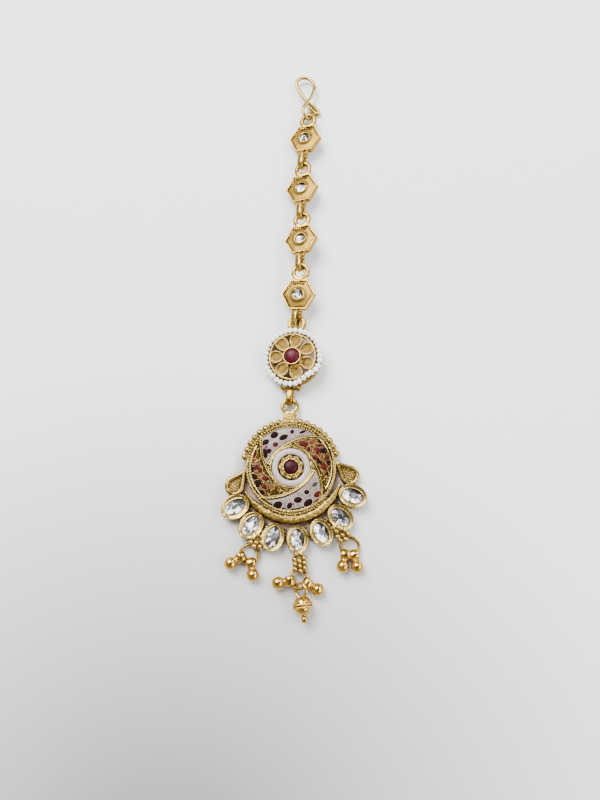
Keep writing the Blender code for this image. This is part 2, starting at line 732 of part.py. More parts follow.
def oval_shapes():
    """The bezels of the oval stones with the balls that join them, and the recesses to be cut."""
    bezels = []
    recesses = []
    foot = (OVAL_HALF_LENGTH + OVAL_FOOT, OVAL_HALF_WIDTH + OVAL_FOOT)
    opening = (OVAL_HALF_LENGTH - OVAL_RIM_END, OVAL_HALF_WIDTH - OVAL_RIM_SIDE)
    rows = [
        (*foot, 0),
        (*foot, OVAL_FOOT_HEIGHT),
        (OVAL_HALF_LENGTH, OVAL_HALF_WIDTH, OVAL_FOOT_HEIGHT),
        (OVAL_HALF_LENGTH, OVAL_HALF_WIDTH, 0.6 * OVAL_HEIGHT),
        (OVAL_HALF_LENGTH - OVAL_RIM_END / 3, OVAL_HALF_WIDTH - OVAL_RIM_SIDE / 3, OVAL_HEIGHT),
    ]
    for place in oval_places():
        bezels.append(moved(oval_stack(rows), place))
        recesses.append(moved(oval_stack([(*opening, OVAL_SEAT), (*opening, 2 * OVAL_HEIGHT)]), place))
    middle = (OVAL_COUNT - 1) / 2
    for index in range(OVAL_COUNT - 1):
        turn = -math.pi / 2 + math.radians(OVAL_STEP) * (index + 0.5 - middle)
        reach = ovals_radius() * math.cos(math.radians(OVAL_STEP) / 2)
        spot = along(turn, reach, ovals_centre())
        bezels.append(ball((*spot, 1.2 * SOLDER_BALL_RADIUS), SOLDER_BALL_RADIUS))
    return bezels, recesses


def leaf_shapes(side):
    """A teardrop leaf and the recess inside its rim, on the pendant's left (-1) or right (1)."""
    tip_angle = math.radians(180 - LEAF_ANGLE if side < 0 else LEAF_ANGLE)
    tip_way = math.radians(LEAF_TURN if side < 0 else 180 - LEAF_TURN)
    middle = along(tip_way + math.pi, LEAF_LENGTH, along(tip_angle, MEDALLION_RADIUS - 2 * SOLDER))
    place = Matrix.Translation((*middle, 0)) @ Matrix.Rotation(tip_way, 4, "Z")
    body = flat([leaf(LEAF_RADIUS, LEAF_LENGTH)], 0, LEAF_HEIGHT, place)
    return body, flat([leaf(LEAF_RADIUS, LEAF_LENGTH, LEAF_RIM)], LEAF_BASE, 2 * LEAF_HEIGHT, place)


def pendant_eye_offset():
    return MEDALLION_RADIUS + NECK_LENGTH + PENDANT_EYE_RADIUS


def neck_turn():
    return Matrix.Rotation(math.radians(-NECK_TURN), 4, "Z")


def neck_shapes():
    """The neck and eye above the medallion, as high as the disc's tab loop holds them, and the eye's hole."""
    low = PENDANT_EYE_HEIGHT - EYE_THICKNESS / 2
    high = PENDANT_EYE_HEIGHT + EYE_THICKNESS / 2
    foot = MEDALLION_RADIUS - SOLDER
    middle = MEDALLION_RADIUS + NECK_LENGTH / 2
    centre = (0, pendant_eye_offset())
    spread = math.asin(NECK_WIDTH / 2 / PENDANT_EYE_RADIUS)
    neck = [
        (-NECK_WIDTH / 2, middle),
        (-NECK_FOOT_WIDTH / 2, foot - 2 * SOLDER),
        (NECK_FOOT_WIDTH / 2, foot - 2 * SOLDER),
        (NECK_WIDTH / 2, middle),
        *circle(PENDANT_EYE_RADIUS, ROUND_SIDES, centre, spread - math.pi / 2, math.tau - 2 * spread),
    ]
    hole = drum(PENDANT_EYE_RADIUS - PENDANT_EYE_BAND, 0, TAB_HEIGHT, ROUND_SIDES, centre)
    return flat([neck], low, high, neck_turn()), moved(hole, neck_turn())


def cluster_place(row):
    """A cluster's middle, with its length pointing away from the ovals' own centre along +X."""
    way = math.radians(row["turn"]) - math.pi / 2
    middle = along(way, ovals_radius() + row["past"] * OVAL_HALF_LENGTH, ovals_centre())
    return Matrix.Translation((*middle, 0)) @ Matrix.Rotation(way, 4, "Z")


def eyelet_middle():
    return Vector((GRANULE_PITCH + EYELET_TUCK - EYELET_RADIUS / 2, 0, EYELET_RADIUS))


def cluster_shapes(row):
    """Granules on a small plate, with an upright eyelet under the last row for the jump ring."""
    place = cluster_place(row)
    granule_height = CLUSTER_UNDERSIDE + GRANULE_RADIUS + SOLDER / 2
    half_plate = 1.5 * GRANULE_PITCH
    plate = [
        (-half_plate - OVAL_RIM_END, -GRANULE_PITCH),
        (half_plate, -GRANULE_PITCH),
        (half_plate, GRANULE_PITCH),
        (-half_plate - OVAL_RIM_END, GRANULE_PITCH),
    ]
    shapes = [flat([plate], CLUSTER_UNDERSIDE, CLUSTER_UNDERSIDE + CLUSTER_PLATE, place)]
    for line, count in enumerate(row["rows"]):
        for index in range(count):
            across = (index - (count - 1) / 2) * GRANULE_PITCH
            middle = place @ Vector(((line - 1) * GRANULE_PITCH, across, granule_height))
            shapes.append(ball(middle, GRANULE_RADIUS))
    ring = [circle(EYELET_RADIUS, 12), circle(RING_WIRE + RING_GAP, 12)]
    upright = Matrix.Translation(eyelet_middle()) @ UPRIGHT
    shapes.append(flat(ring, -EYELET_WIDTH / 2, EYELET_WIDTH / 2, place @ upright))
    return shapes


def pendant_frame(place):
    shapes = medallion_shapes()
    shapes.append(crescent_shape())
    bezels, cuts = oval_shapes()
    shapes += bezels
    for side in (-1, 1):
        body, recess = leaf_shapes(side)
        shapes.append(body)
        cuts.append(recess)
    neck, eye_hole = neck_shapes()
    shapes.append(neck)
    cuts.append(eye_hole)
    for row in CLUSTERS:
        shapes += cluster_shapes(row)
    return piece("pendant_frame", shapes, antique_gold, cuts=cuts, place=place)


def enamel_field(index, place):
    """The field outside one sweeping wire and inside the next, anticlockwise."""
    low = MEDALLION_BASE + STONE_GAP
    high = low + FIELD_HEIGHT
    inside = drum(MEDALLION_RADIUS - MEDALLION_WALL - STONE_GAP, low, high, WIDE_SIDES)
    margin = SWEEP_WIRE / 2 + STONE_GAP
    own, _ = sweep_centre(index)
    after, _ = sweep_centre(index + 1)
    keep = drum(SWEEP_RADIUS - margin, 0, 2 * high, WIDE_SIDES, after)
    cut = drum(SWEEP_RADIUS + margin, 0, 2 * high, WIDE_SIDES, own)
    name = f"enamel_field_{index + 1}"
    made_of = white_enamel if index % 2 else red_enamel
    return piece(name, [inside], made_of, cuts=[cut], keep=keep, place=place)


def enamel_ring(place):
    inner = COLLAR_RADIUS + COLLAR_LOBE + STONE_GAP
    outer = SWEEP_TANGENT_RADIUS - RING_WALL - STONE_GAP
    low = MEDALLION_BASE + STONE_GAP
    high = low + ENAMEL_RING_HEIGHT
    shoulder = high - (outer - inner) / 5
    profile = [
        (inner, shoulder),
        ((inner + outer) / 2, high),
        (outer, shoulder),
        (outer, low),
        (inner, low),
    ]
    return piece("enamel_ring", [turned(profile, 24, closed=True)], white_enamel, place=place)


def rosette_collar(place):
    low = MEDALLION_BASE + STONE_GAP
    outline = []
    for step in range(4 * COLLAR_LOBES):
        angle = math.tau * step / (4 * COLLAR_LOBES)
        outline.append(tuple(along(angle, COLLAR_RADIUS + COLLAR_LOBE * math.cos(COLLAR_LOBES * angle))))
    hole = circle(CENTRE_RUBY_RADIUS + STONE_GAP, ROUND_SIDES)
    collar = flat([outline, hole], low, low + COLLAR_HEIGHT)
    return piece("rosette_collar", [collar], antique_gold, place=place)


def dome(radius, floor, girdle, rise, sides=ROUND_SIDES):
    """A domed stone: straight to its girdle, then three rows up to a small flat top."""
    rows = [(radius, radius, floor), (radius, radius, girdle)]
    for share in (0.35, 0.65, 0.9):
        across = radius * math.cos(share * math.pi / 2)
        rows.append((across, across, girdle + rise * math.sin(share * math.pi / 2)))
    return oval_stack(rows, sides)


def centre_ruby(place):
    low = MEDALLION_BASE + STONE_GAP
    stone = dome(CENTRE_RUBY_RADIUS, low, low + COLLAR_HEIGHT, CENTRE_RUBY_DOME)
    return piece("centre_ruby", [stone], dark_ruby, place=place)


def oval_stone(index, place):
    half_length = OVAL_HALF_LENGTH - OVAL_RIM_END - STONE_GAP
    half_width = OVAL_HALF_WIDTH - OVAL_RIM_SIDE - STONE_GAP
    seat = OVAL_SEAT + STONE_GAP
    rows = [
        (0.45 * half_length, 0.45 * half_width, seat),
        (half_length, half_width, seat + 0.5 * OVAL_STONE_HEIGHT),
        (half_length, half_width, seat + 0.6 * OVAL_STONE_HEIGHT),
        (0.8 * half_length, 0.75 * half_width, seat + 0.85 * OVAL_STONE_HEIGHT),
        (0.5 * half_length, 0.45 * half_width, seat + OVAL_STONE_HEIGHT),
    ]
    name = f"oval_stone_{index + 1}"
    return piece(name, [oval_stack(rows, 10)], clear_stone, place=place @ oval_places()[index])


# Jump rings and drops


def jump_ring(number, place):
    ring = wire([(*point, 0) for point in circle(RING_RADIUS, ROUND_SIDES)], RING_WIRE, closed=True)
    return piece(f"jump_ring_{number}", [ring], bright_gold, place=place)


def ring_places(pendant):
    """Each jump ring lies level through its eyelet; the middle one rises to the centre drop's bail."""
    places = {}
    for row in CLUSTERS:
        way = math.radians(row["ring_way"])
        eyelet = pendant @ cluster_place(row) @ eyelet_middle()
        lift = MIDDLE_RING_LIFT if row["name"] == "middle" else 0.0
        tilt = math.asin(lift / (2 * RING_RADIUS))
        turn = Matrix.Rotation(way, 4, "Z") @ Matrix.Rotation(-tilt, 4, "Y")
        middle = eyelet + turn @ Vector((RING_RADIUS, 0, 0))
        places[row["name"]] = (Matrix.Translation(middle) @ turn, way)
    return places


def drop_length():
    return DROP_LOOP_RADIUS + DROP_NECK + DROP_BALL_RADIUS


def drop_mesh_shapes():
    loop = flat(
        [circle(DROP_LOOP_RADIUS, 14), circle(DROP_LOOP_HOLE, 10)],
        -DROP_LOOP_WIDTH / 2,
        DROP_LOOP_WIDTH / 2,
        UPRIGHT,
    )
    along_x = Matrix.Rotation(math.pi / 2, 4, "Y")
    neck = moved(drum(DROP_NECK_RADIUS, DROP_LOOP_RADIUS - 2 * SOLDER, drop_length(), 8), along_x)
    return [loop, neck, ball((drop_length(), 0, 0), DROP_BALL_RADIUS, 12, 6)]


def drop_place(row, rings):
    """The loop hangs on its ring's wire, and the ball rests on the surface."""
    ring, way = rings[row["ring"]]
    on_wire = ring @ Vector((*along(math.radians(row["loop"]) - way, RING_RADIUS), 0))
    height = max(on_wire.z, DROP_LOOP_RADIUS)
    fall = math.asin((height - DROP_BALL_RADIUS) / drop_length())
    turn = Matrix.Rotation(math.radians(row["ball"]), 4, "Z") @ Matrix.Rotation(fall, 4, "Y")
    return Matrix.Translation((on_wire.x, on_wire.y, height)) @ turn


def centre_drop(rings):
    """The turned bead, its tip ball and its wire bail, about the bead's middle with the tip along +X."""
    along_x = Matrix.Rotation(math.pi / 2, 4, "Y")
    half = BOB_LENGTH / 2
    profile = [
        (0, half + BOB_TIP_RADIUS / 2),
        (BOB_TIP_RADIUS / 2, half + BOB_TIP_RADIUS / 2),
        (0.34 * BOB_RADIUS, 0.9 * half),
        (0.62 * BOB_RADIUS, 0.66 * half),
        (0.88 * BOB_RADIUS, 0.4 * half),
        (BOB_RADIUS, 0.16 * half),
        (BOB_RADIUS, -0.16 * half),
        (0.92 * BOB_RADIUS, -0.45 * half),
        (0.68 * BOB_RADIUS, -0.76 * half),
        (0.3 * BOB_RADIUS, -half),
        (0, -half),
    ]
    bead = moved(turned(profile, ROUND_SIDES), along_x)
    tip = ball((BOB_STEM, 0, 0), BOB_TIP_RADIUS, 10, 6)
    turn = Matrix.Rotation(math.radians(BAIL_TURN), 4, "X")
    spread = math.radians(55)
    round_end = circle(BAIL_RADIUS, 12, (-BAIL_LENGTH, 0), spread, math.tau - 2 * spread)
    foot = -half + 2 * SOLDER
    route = [turn @ Vector((*point, 0)) for point in [(foot, BAIL_WIRE), *round_end, (foot, -BAIL_WIRE)]]
    bail = wire(route, BAIL_WIRE)
    ring, way = rings["middle"]
    lean = math.radians(270 + BOB_LEAN)
    on_wire = ring @ Vector((*along(lean - way, RING_RADIUS), 0))
    direction = Matrix.Rotation(lean, 4, "Z")
    reach = BAIL_LENGTH + BAIL_RADIUS / 4
    middle = Vector((on_wire.x, on_wire.y, 0)) + direction @ Vector((reach, 0, 0))
    place = Matrix.Translation((middle.x, middle.y, BOB_RADIUS)) @ direction
    return piece("centre_drop", [bead, tip, bail], bright_gold, place=place)


# Hook


def smooth(points, steps):
    """Points on a smooth curve through the given ones."""
    ends = [2 * points[0] - points[1], *points, 2 * points[-1] - points[-2]]
    made = []
    for before, first, second, after in zip(ends, ends[1:], ends[2:], ends[3:]):
        for step in range(steps):
            t = step / steps
            made.append(
                0.5
                * (
                    2 * first
                    + (second - before) * t
                    + (2 * before - 5 * first + 4 * second - after) * t**2
                    + (3 * first - before - 3 * second + after) * t**3
                )
            )
    made.append(points[-1])
    return made


def hook(first_eye):
    route = []
    for row in HOOK_ROUTE:
        across = row["across"] * HOOK_WIDTH
        up = row["along"] * HOOK_LENGTH
        route.append(first_eye + Vector((across, up, row["height"] * EYE_THICKNESS)))
    return piece("hook", [wire(smooth(route, 2), HOOK_WIRE)], pale_gold)


# The scene


def lowest_and_middle():
    """The lowest point of the parts, and the middle of their box in X and Y."""
    bpy.context.view_layer.update()
    corners = [part.matrix_world @ vertex.co for part in parts_collection.objects for vertex in part.data.vertices]
    spans = [(min(axis), max(axis)) for axis in zip(*corners)]
    return Vector((sum(spans[0]) / 2, sum(spans[1]) / 2, spans[2][0]))


for old in list(bpy.data.objects):
    bpy.data.objects.remove(old, do_unlink=True)
parts_collection = bpy.data.collections.new("maang_tikka")
shapes_collection = bpy.data.collections.new("shapes")
for made_collection in (parts_collection, shapes_collection):
    bpy.context.scene.collection.children.link(made_collection)
whole = bpy.data.objects.new("whole", None)
bpy.context.scene.collection.objects.link(whole)

antique_gold = material("antique_gold", GOLD, 1.0, 0.35)
bright_gold = material("bright_gold", BRIGHT_GOLD, 1.0, 0.22)
pale_gold = material("pale_gold", PALE_GOLD, 1.0, 0.3)
clear_stone = material("clear_stone", (0.85, 0.87, 0.9), 0.0, 0.05)
ruby = material("ruby", (0.45, 0.03, 0.10), 0.0, 0.15)
dark_ruby = material("dark_ruby", (0.25, 0.02, 0.06), 0.0, 0.15)
pearl = material("pearl", (0.9, 0.88, 0.86), 0.0, 0.25)
white_enamel = material("white_enamel", (0.66, 0.62, 0.62), 0.0, 0.2)
red_enamel = material("red_enamel", (0.4, 0.04, 0.03), 0.0, 0.2)

pendant = Matrix.Rotation(math.radians(PENDANT_LEAN), 4, "Z")
pendant_frame(pendant)
for field in range(SWEEP_COUNT):
    enamel_field(field, pendant)
enamel_ring(pendant)
rosette_collar(pendant)
centre_ruby(pendant)
for stone in range(OVAL_COUNT):
    oval_stone(stone, pendant)

jump_rings = ring_places(pendant)
for number, (ring_place, _) in enumerate(jump_rings.values(), 1):
    jump_ring(number, ring_place)
first_drop = piece("ball_drop_1", drop_mesh_shapes(), bright_gold, place=drop_place(DROPS[0], jump_rings))
for number, drop_row in enumerate(DROPS[1:], 2):
    copy_of(first_drop.data, f"ball_drop_{number}", drop_place(drop_row, jump_rings))
centre_drop(jump_rings)

pendant_band = pendant @ neck_turn() @ Vector(
    (0, pendant_eye_offset() + PENDANT_EYE_RADIUS - PENDANT_EYE_BAND / 2, PENDANT_EYE_HEIGHT)
)
disc_hold = hold_point(FLANGE_RADIUS + DISC_TAB_REACH, PENDANT_EYE_BAND)
disc_place = hung_on("disc", disc_hold, pendant_band)
casting, openings = disc_casting()
piece("disc_casting", casting, antique_gold, cuts=openings, place=disc_place)
disc_ruby(disc_place)
pearl_string(disc_place)

next_band = band_of(disc_place, disc_eye_offset())
link_hold = hold_point(HEX_ACROSS_FLATS / 2 + TAB_REACH, EYE_BAND)
link_mesh = None
for number in range(LINK_COUNT, 0, -1):
    link_place = hung_on(f"link_{number}", link_hold, next_band)
    if link_mesh is None:
        casting, openings = link_casting()
        link_mesh = piece(f"link_{number}", casting, antique_gold, cuts=openings, place=link_place).data
    else:
        copy_of(link_mesh, f"link_{number}", link_place)
    link_stone(f"link_stone_{number}", link_place)
    next_band = band_of(link_place, link_eye_offset())
hook(link_place @ Vector((0, link_eye_offset(), 0)))

middle_of_box = lowest_and_middle()
whole.location = -middle_of_box
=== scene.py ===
import math
import random

import bmesh
import bpy
from mathutils import Matrix, Vector, noise


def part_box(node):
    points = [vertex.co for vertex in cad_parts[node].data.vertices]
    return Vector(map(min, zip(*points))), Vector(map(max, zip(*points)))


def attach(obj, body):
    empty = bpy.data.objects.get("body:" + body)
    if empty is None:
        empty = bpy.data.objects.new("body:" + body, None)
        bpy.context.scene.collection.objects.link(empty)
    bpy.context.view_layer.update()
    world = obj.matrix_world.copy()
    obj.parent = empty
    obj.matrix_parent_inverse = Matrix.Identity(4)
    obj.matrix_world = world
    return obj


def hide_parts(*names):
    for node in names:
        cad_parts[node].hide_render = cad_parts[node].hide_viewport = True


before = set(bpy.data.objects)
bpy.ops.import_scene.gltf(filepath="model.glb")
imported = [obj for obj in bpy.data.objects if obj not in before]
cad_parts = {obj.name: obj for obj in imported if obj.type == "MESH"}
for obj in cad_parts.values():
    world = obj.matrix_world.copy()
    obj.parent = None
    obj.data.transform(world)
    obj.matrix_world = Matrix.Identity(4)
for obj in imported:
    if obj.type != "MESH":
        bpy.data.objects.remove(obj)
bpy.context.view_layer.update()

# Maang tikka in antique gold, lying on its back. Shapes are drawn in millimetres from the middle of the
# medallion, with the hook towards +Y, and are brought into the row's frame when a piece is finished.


def table(columns, *rows):
    """Rows as dictionaries, by the names of their columns."""
    return [dict(zip(columns.split(), row)) for row in rows]


def named(columns, *rows):
    """The same by the name in each row."""
    return {row["name"]: row for row in table(columns, *rows)}


MM = 0.001
UP = Vector((0, 0, 1))
BLACK = (0.0, 0.0, 0.0, 1.0)
GRAIN_DEPTH = 0.00003
STONE_GAP = 0.15
SOLDER = 0.12

# Linked pieces, as in the part
HEX_ACROSS_FLATS = 7.8
HEX_PLATE = 0.9
EYE_RADIUS = 2.4
EYE_BAND = 0.95
EYE_THICKNESS = 0.84
TAB_WIDTH = 1.4
TAB_STRAP = 0.7
TAB_HEIGHT = 3.0
TAB_REACH = 5.15
LINK_GAP = 0.45
LINK_EYE = HEX_ACROSS_FLATS / 2 + EYE_RADIUS - 0.1
LAY = named(
    "name lean pitch roll slack",
    ("link_1", 6.0, 1.5, 20, 0.0),
    ("link_2", 1.0, 2.5, 22, 0.0),
    ("link_3", 1.0, 5.0, 20, 0.02),
    ("link_4", 4.0, -6.0, 15, 0.31),
    ("disc", 5.0, -3.0, 10, 0.0),
)

# Pearl disc
FLANGE_RADIUS = 7.35
FLANGE_THICKNESS = 0.8
DISC_RIM_RADIUS = 6.1
DISC_RIM_RISE = 1.7
PEARL_RADIUS = 0.68
PEARL_COUNT = 34
DISC_EYE = FLANGE_RADIUS + EYE_RADIUS - 0.75
DISC_TAB_REACH = 4.97
PETAL_COUNT = 7
PETAL_FIRST = 82
DISC_BEZEL_RADIUS = 2.3

# Main pendant
PENDANT_LEAN = 5.3
NECK_TURN = 4.2
MEDALLION_RADIUS = 11.05
MEDALLION_WALL = 0.85
MEDALLION_BASE = 0.8
SWEEP_RADIUS = 12.8
SWEEP_TANGENT_RADIUS = 5.15
SWEEP_LEAD = 15.5
SWEEP_TURN = 41.2
BEAD_RADIUS = 0.86
BEAD_SEAT = 11.6
BEAD_FIRST = 12
BEAD_PITCH = 8.8
BEAD_COUNT = 18
CRESCENT_RADIUS = 12.3
CRESCENT_DROP = 1.6
CRESCENT_INNER_RADIUS = 13.6
CRESCENT_TIP = 4.9
CRESCENT_MOST = 2.0
OVAL_COUNT = 7
OVAL_STEP = 21.6
OVAL_HALF_LENGTH = 3.48
OVALS_CIRCLE = 15.76
LEAF_RADIUS = 2.4
LEAF_LENGTH = 5.2
LEAF_ANGLE = 4.0
LEAF_TURN = 50
PENDANT_EYE_RADIUS = 2.25
PENDANT_EYE_BAND = 0.9
PENDANT_EYE_HEIGHT = 1.68
PENDANT_EYE = MEDALLION_RADIUS + 2.1 + PENDANT_EYE_RADIUS
GRANULE_PITCH = 1.12
CLUSTER_UNDERSIDE = 1.45
EYELET_RADIUS = 0.95
RING_RADIUS = 2.2
RING_WIRE = 0.39
DROP_BALL_RADIUS = 1.43
DROP_SWELL = 0.13
DROP_LOOP_RADIUS = 1.25
BOB_HEIGHT = 2.5
BOB_WAY = 278
BOB_LENGTH = 4.0
BAIL_RADIUS = 1.6
BAIL_LENGTH = 3.5
HOOK_WIDTH = 4.9
HOOK_LENGTH = 14.2
HOOK_WIRE = 0.47

CLUSTERS = named(
    "name turn past rows ring_way lift",
    ("left", -32.4, 0.59, (2, 3, 3), 237, 0.0),
    ("middle", 0.0, 1.63, (3, 3, 3), 262, 1.1),
    ("right", 34.5, 0.82, (2, 3, 3), 300, 0.0),
)
DROPS = table(
    "ring loop ball",
    ("left", 200, 212),
    ("left", 281, 280),
    ("middle", 190, 190),
    ("middle", 334, 331),
    ("right", 240, 256),
    ("right", 298, 283),
)
HOOK_ROUTE = table(
    "across along height",
    (0.04, 0.345, -1.30),
    (0.27, 0.285, -1.35),
    (0.50, 0.220, -1.35),
    (0.62, 0.215, -1.35),
    (0.60, 0.265, -1.30),
    (0.32, 0.355, -1.10),
    (0.0, 0.445, -0.75),
    (-0.33, 0.61, -0.55),
    (-0.63, 0.80, -0.50),
    (-0.61, 0.93, -0.50),
    (-0.27, 1.00, -0.45),
    (0.14, 0.95, -0.40),
    (0.36, 0.79, -0.20),
    (0.25, 0.60, 0.10),
    (0.04, 0.43, 0.60),
    (-0.20, 0.29, 1.20),
    (-0.31, 0.175, 1.45),
    (-0.16, 0.065, 1.05),
    (0.04, 0.030, 0.00),
    (0.20, 0.085, -0.95),
    (0.33, 0.165, -1.15),
    (0.27, 0.225, -0.55),
    (0.10, 0.29, 0.05),
)

ring_low, ring_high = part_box("enamel_ring")
ORIGIN = Vector(
    (
        (ring_low.x + ring_high.x) / 2,
        (ring_low.y + ring_high.y) / 2,
        ring_low.z - (MEDALLION_BASE + STONE_GAP) * MM,
    )
)
TO_ROW = Matrix.Translation(ORIGIN) @ Matrix.Scale(MM, 4)


def turn_z(degrees):
    return Matrix.Rotation(math.radians(degrees), 4, "Z")


def lay_up(middle, way=0.0):
    """The place of a shape at a point of XY or XYZ, turned by some degrees about Z."""
    return Matrix.Translation((*middle, 0) if len(middle) == 2 else middle) @ turn_z(way)


def polar(degrees, distance, centre=(0.0, 0.0)):
    angle = math.radians(degrees)
    return Vector((centre[0] + distance * math.cos(angle), centre[1] + distance * math.sin(angle)))


def arc(start, end, radius, height, steps, centre=(0.0, 0.0)):
    """Points along an arc between two angles in degrees."""
    ways = [start + (end - start) * step / steps for step in range(steps + 1)]
    return [Vector((*polar(way, radius, centre), height)) for way in ways]


def circle_points(radius, height, count):
    return [Vector((*polar(360 * step / count, radius), height)) for step in range(count)]


PENDANT = turn_z(PENDANT_LEAN)
UPRIGHT = Matrix.Rotation(math.pi / 2, 4, "X")
ALONG_X = Matrix.Rotation(math.pi / 2, 4, "Y")

# Materials


def add_node(tree, kind, links=None, **settings):
    """A node with its settings, and its inputs linked from sockets or set to values."""
    made = tree.nodes.new(kind)
    for key, value in settings.items():
        setattr(made, key, value)
    for key, source in (links or {}).items():
        if isinstance(source, bpy.types.NodeSocket):
            tree.links.new(source, made.inputs[key])
        else:
            made.inputs[key].default_value = source
    return made


def blended(tree, share, first, second):
    """Two colours mixed by a share."""
    return add_node(tree, "ShaderNodeMix", {0: share, 6: first, 7: second}, data_type="RGBA").outputs[2]


def ranged(tree, value, low, high, to_low=0.0, to_high=1.0):
    links = {"Value": value, "From Min": low, "From Max": high, "To Min": to_low, "To Max": to_high}
    return add_node(tree, "ShaderNodeMapRange", links).outputs["Result"]


def computed(tree, operation, *values):
    return add_node(tree, "ShaderNodeMath", dict(enumerate(values)), operation=operation).outputs[0]


def placed_by(tree):
    return add_node(tree, "ShaderNodeTexCoord").outputs["Object"]


def build_gold_group():
    """Cast gold with a fine grain: darker in its recesses from grime and painted shade, brighter along its edges from
    wear and a painted highlight.
    """
    tree = bpy.data.node_groups.new("gold_wear_and_painted_light", "ShaderNodeTree")
    sockets = (
        ("INPUT", "NodeSocketColor", ("Gold", "Recess", "Edge")),
        ("INPUT", "NodeSocketFloat", ("Grime_and_shade", "Grain", "Rough")),
        ("OUTPUT", "NodeSocketColor", ("Colour",)),
        ("OUTPUT", "NodeSocketFloat", ("Roughness", "Height")),
    )
    for way, kind, labels in sockets:
        for label in labels:
            tree.interface.new_socket(label, in_out=way, socket_type=kind)
    given = tree.nodes.new("NodeGroupInput").outputs
    out = tree.nodes.new("NodeGroupOutput").inputs
    where = placed_by(tree)
    cloud = add_node(tree, "ShaderNodeTexNoise", {"Vector": where, "Scale": 650.0, "Detail": 3.0}).outputs["Fac"]
    links = {"Vector": where, "Scale": given["Grain"], "Detail": 4.0, "Roughness": 0.6}
    grain = add_node(tree, "ShaderNodeTexNoise", links).outputs["Fac"]
    # ambient occlusion darkens the hollows, grime and painted shade, and lights the convex edges, wear and painted
    # highlight
    deep = add_node(tree, "ShaderNodeAmbientOcclusion", {"Distance": 0.0011}, samples=6).outputs["AO"]
    links = {"Distance": 0.00025}
    edge = add_node(tree, "ShaderNodeAmbientOcclusion", links, samples=6, inside=True).outputs["AO"]
    grime_and_shade = computed(tree, "MULTIPLY", ranged(tree, deep, 0.25, 0.8, 1.0, 0.0), given["Grime_and_shade"])
    warm = blended(tree, ranged(tree, cloud, 0.3, 0.7, 0.0, 0.3), given["Gold"], given["Recess"])
    lit = blended(tree, ranged(tree, edge, 0.55, 0.9, 1.0, 0.0), warm, given["Edge"])
    tree.links.new(blended(tree, grime_and_shade, lit, given["Recess"]), out["Colour"])
    rough = computed(tree, "ADD", given["Rough"], ranged(tree, grain, 0.3, 0.7, -0.08, 0.12))
    tree.links.new(computed(tree, "MULTIPLY_ADD", grime_and_shade, 0.3, rough), out["Roughness"])
    tree.links.new(grain, out["Height"])
    return tree


def new_material(name, **shader_values):
    made = bpy.data.materials.new(name)
    made.use_nodes = True
    shader = made.node_tree.nodes["Principled BSDF"]
    for key, value in shader_values.items():
        shader.inputs[key.replace("_", " ")].default_value = value
    return made, made.node_tree, shader


def uneven(tree, shader, height, strength, depth=GRAIN_DEPTH):
    bump = add_node(tree, "ShaderNodeBump", {"Height": height, "Strength": strength, "Distance": depth})
    tree.links.new(bump.outputs["Normal"], shader.inputs["Normal"])


def gold_material(name, gold, recess, edge, grime_and_shade, rough, grain=2500.0, bump=0.25, depth=GRAIN_DEPTH):
    made, tree, shader = new_material(name, Metallic=1.0)
    values = {"Gold": (*gold, 1), "Recess": (*recess, 1), "Edge": (*edge, 1)}
    values.update({"Grime_and_shade": grime_and_shade, "Grain": grain, "Rough": rough})
    look = add_node(tree, "ShaderNodeGroup", values, node_tree=GOLD_WEAR_AND_PAINTED_LIGHT).outputs
    tree.links.new(look["Colour"], shader.inputs["Base Color"])
    tree.links.new(look["Roughness"], shader.inputs["Roughness"])
    uneven(tree, shader, look["Height"], bump, depth)
    return made


def clouded_material(name, first, second, scale, rough, shine=0.5, bump=0.0, **shader_values):
    """A smooth body colour with a second one in soft clouds, as enamel, pearl or stone has."""
    made, tree, shader = new_material(name, Roughness=rough, Specular_IOR_Level=shine, **shader_values)
    links = {"Vector": placed_by(tree), "Scale": scale, "Detail": 3.0}
    cloud = add_node(tree, "ShaderNodeTexNoise", links).outputs["Fac"]
    colour = blended(tree, ranged(tree, cloud, 0.35, 0.65), (*first, 1), (*second, 1))
    tree.links.new(colour, shader.inputs["Base Color"])
    if bump:
        uneven(tree, shader, cloud, bump)
    return made


def facet_material(name, **shader_values):
    """A foil-backed cut stone: each facet carries painted light and shade, broken up into small painted reflections,
    and the bright ones glow by emission as a painted highlight.
    """
    made, tree, shader = new_material(name, Emission_Strength=1.0, **shader_values)
    tone = add_node(tree, "ShaderNodeAttribute", attribute_name="facet_painted_light").outputs["Color"]
    links = {"Vector": placed_by(tree), "Scale": 1300.0}
    cells = add_node(tree, "ShaderNodeTexVoronoi", links).outputs["Color"]
    painted_glints = blended(tree, ranged(tree, cells, 0.15, 0.6, 0.4, 1.0), BLACK, tone)
    tree.links.new(blended(tree, 0.5, BLACK, painted_glints), shader.inputs["Base Color"])
    # the brightest painted reflections glow by emission: painted highlight
    tree.links.new(ranged(tree, painted_glints, 0.42, 0.85, 0.0, 3.6), shader.inputs["Emission Color"])
    return made


# every gold below takes painted shade in its recesses and a painted highlight on its edges from this group, along
# with grime and wear
GOLD_WEAR_AND_PAINTED_LIGHT = build_gold_group()
GOLD = gold_material("antique_gold", (0.42, 0.285, 0.070), (0.038, 0.021, 0.004), (0.70, 0.51, 0.155), 0.95, 0.25)
LINK_GOLD = gold_material("warm_gold", (0.38, 0.218, 0.034), (0.045, 0.020, 0.003), (0.60, 0.365, 0.062), 0.92, 0.27)
RIM_GOLD = gold_material("stone_rims", (0.52, 0.355, 0.097), (0.14, 0.083, 0.018), (0.72, 0.53, 0.17), 0.85, 0.26)
FLOOR_GOLD = gold_material(
    "matte_gold_floor", (0.29, 0.178, 0.034), (0.05, 0.024, 0.004), (0.38, 0.23, 0.05), 0.85, 0.42, 4200.0, 1.0
)
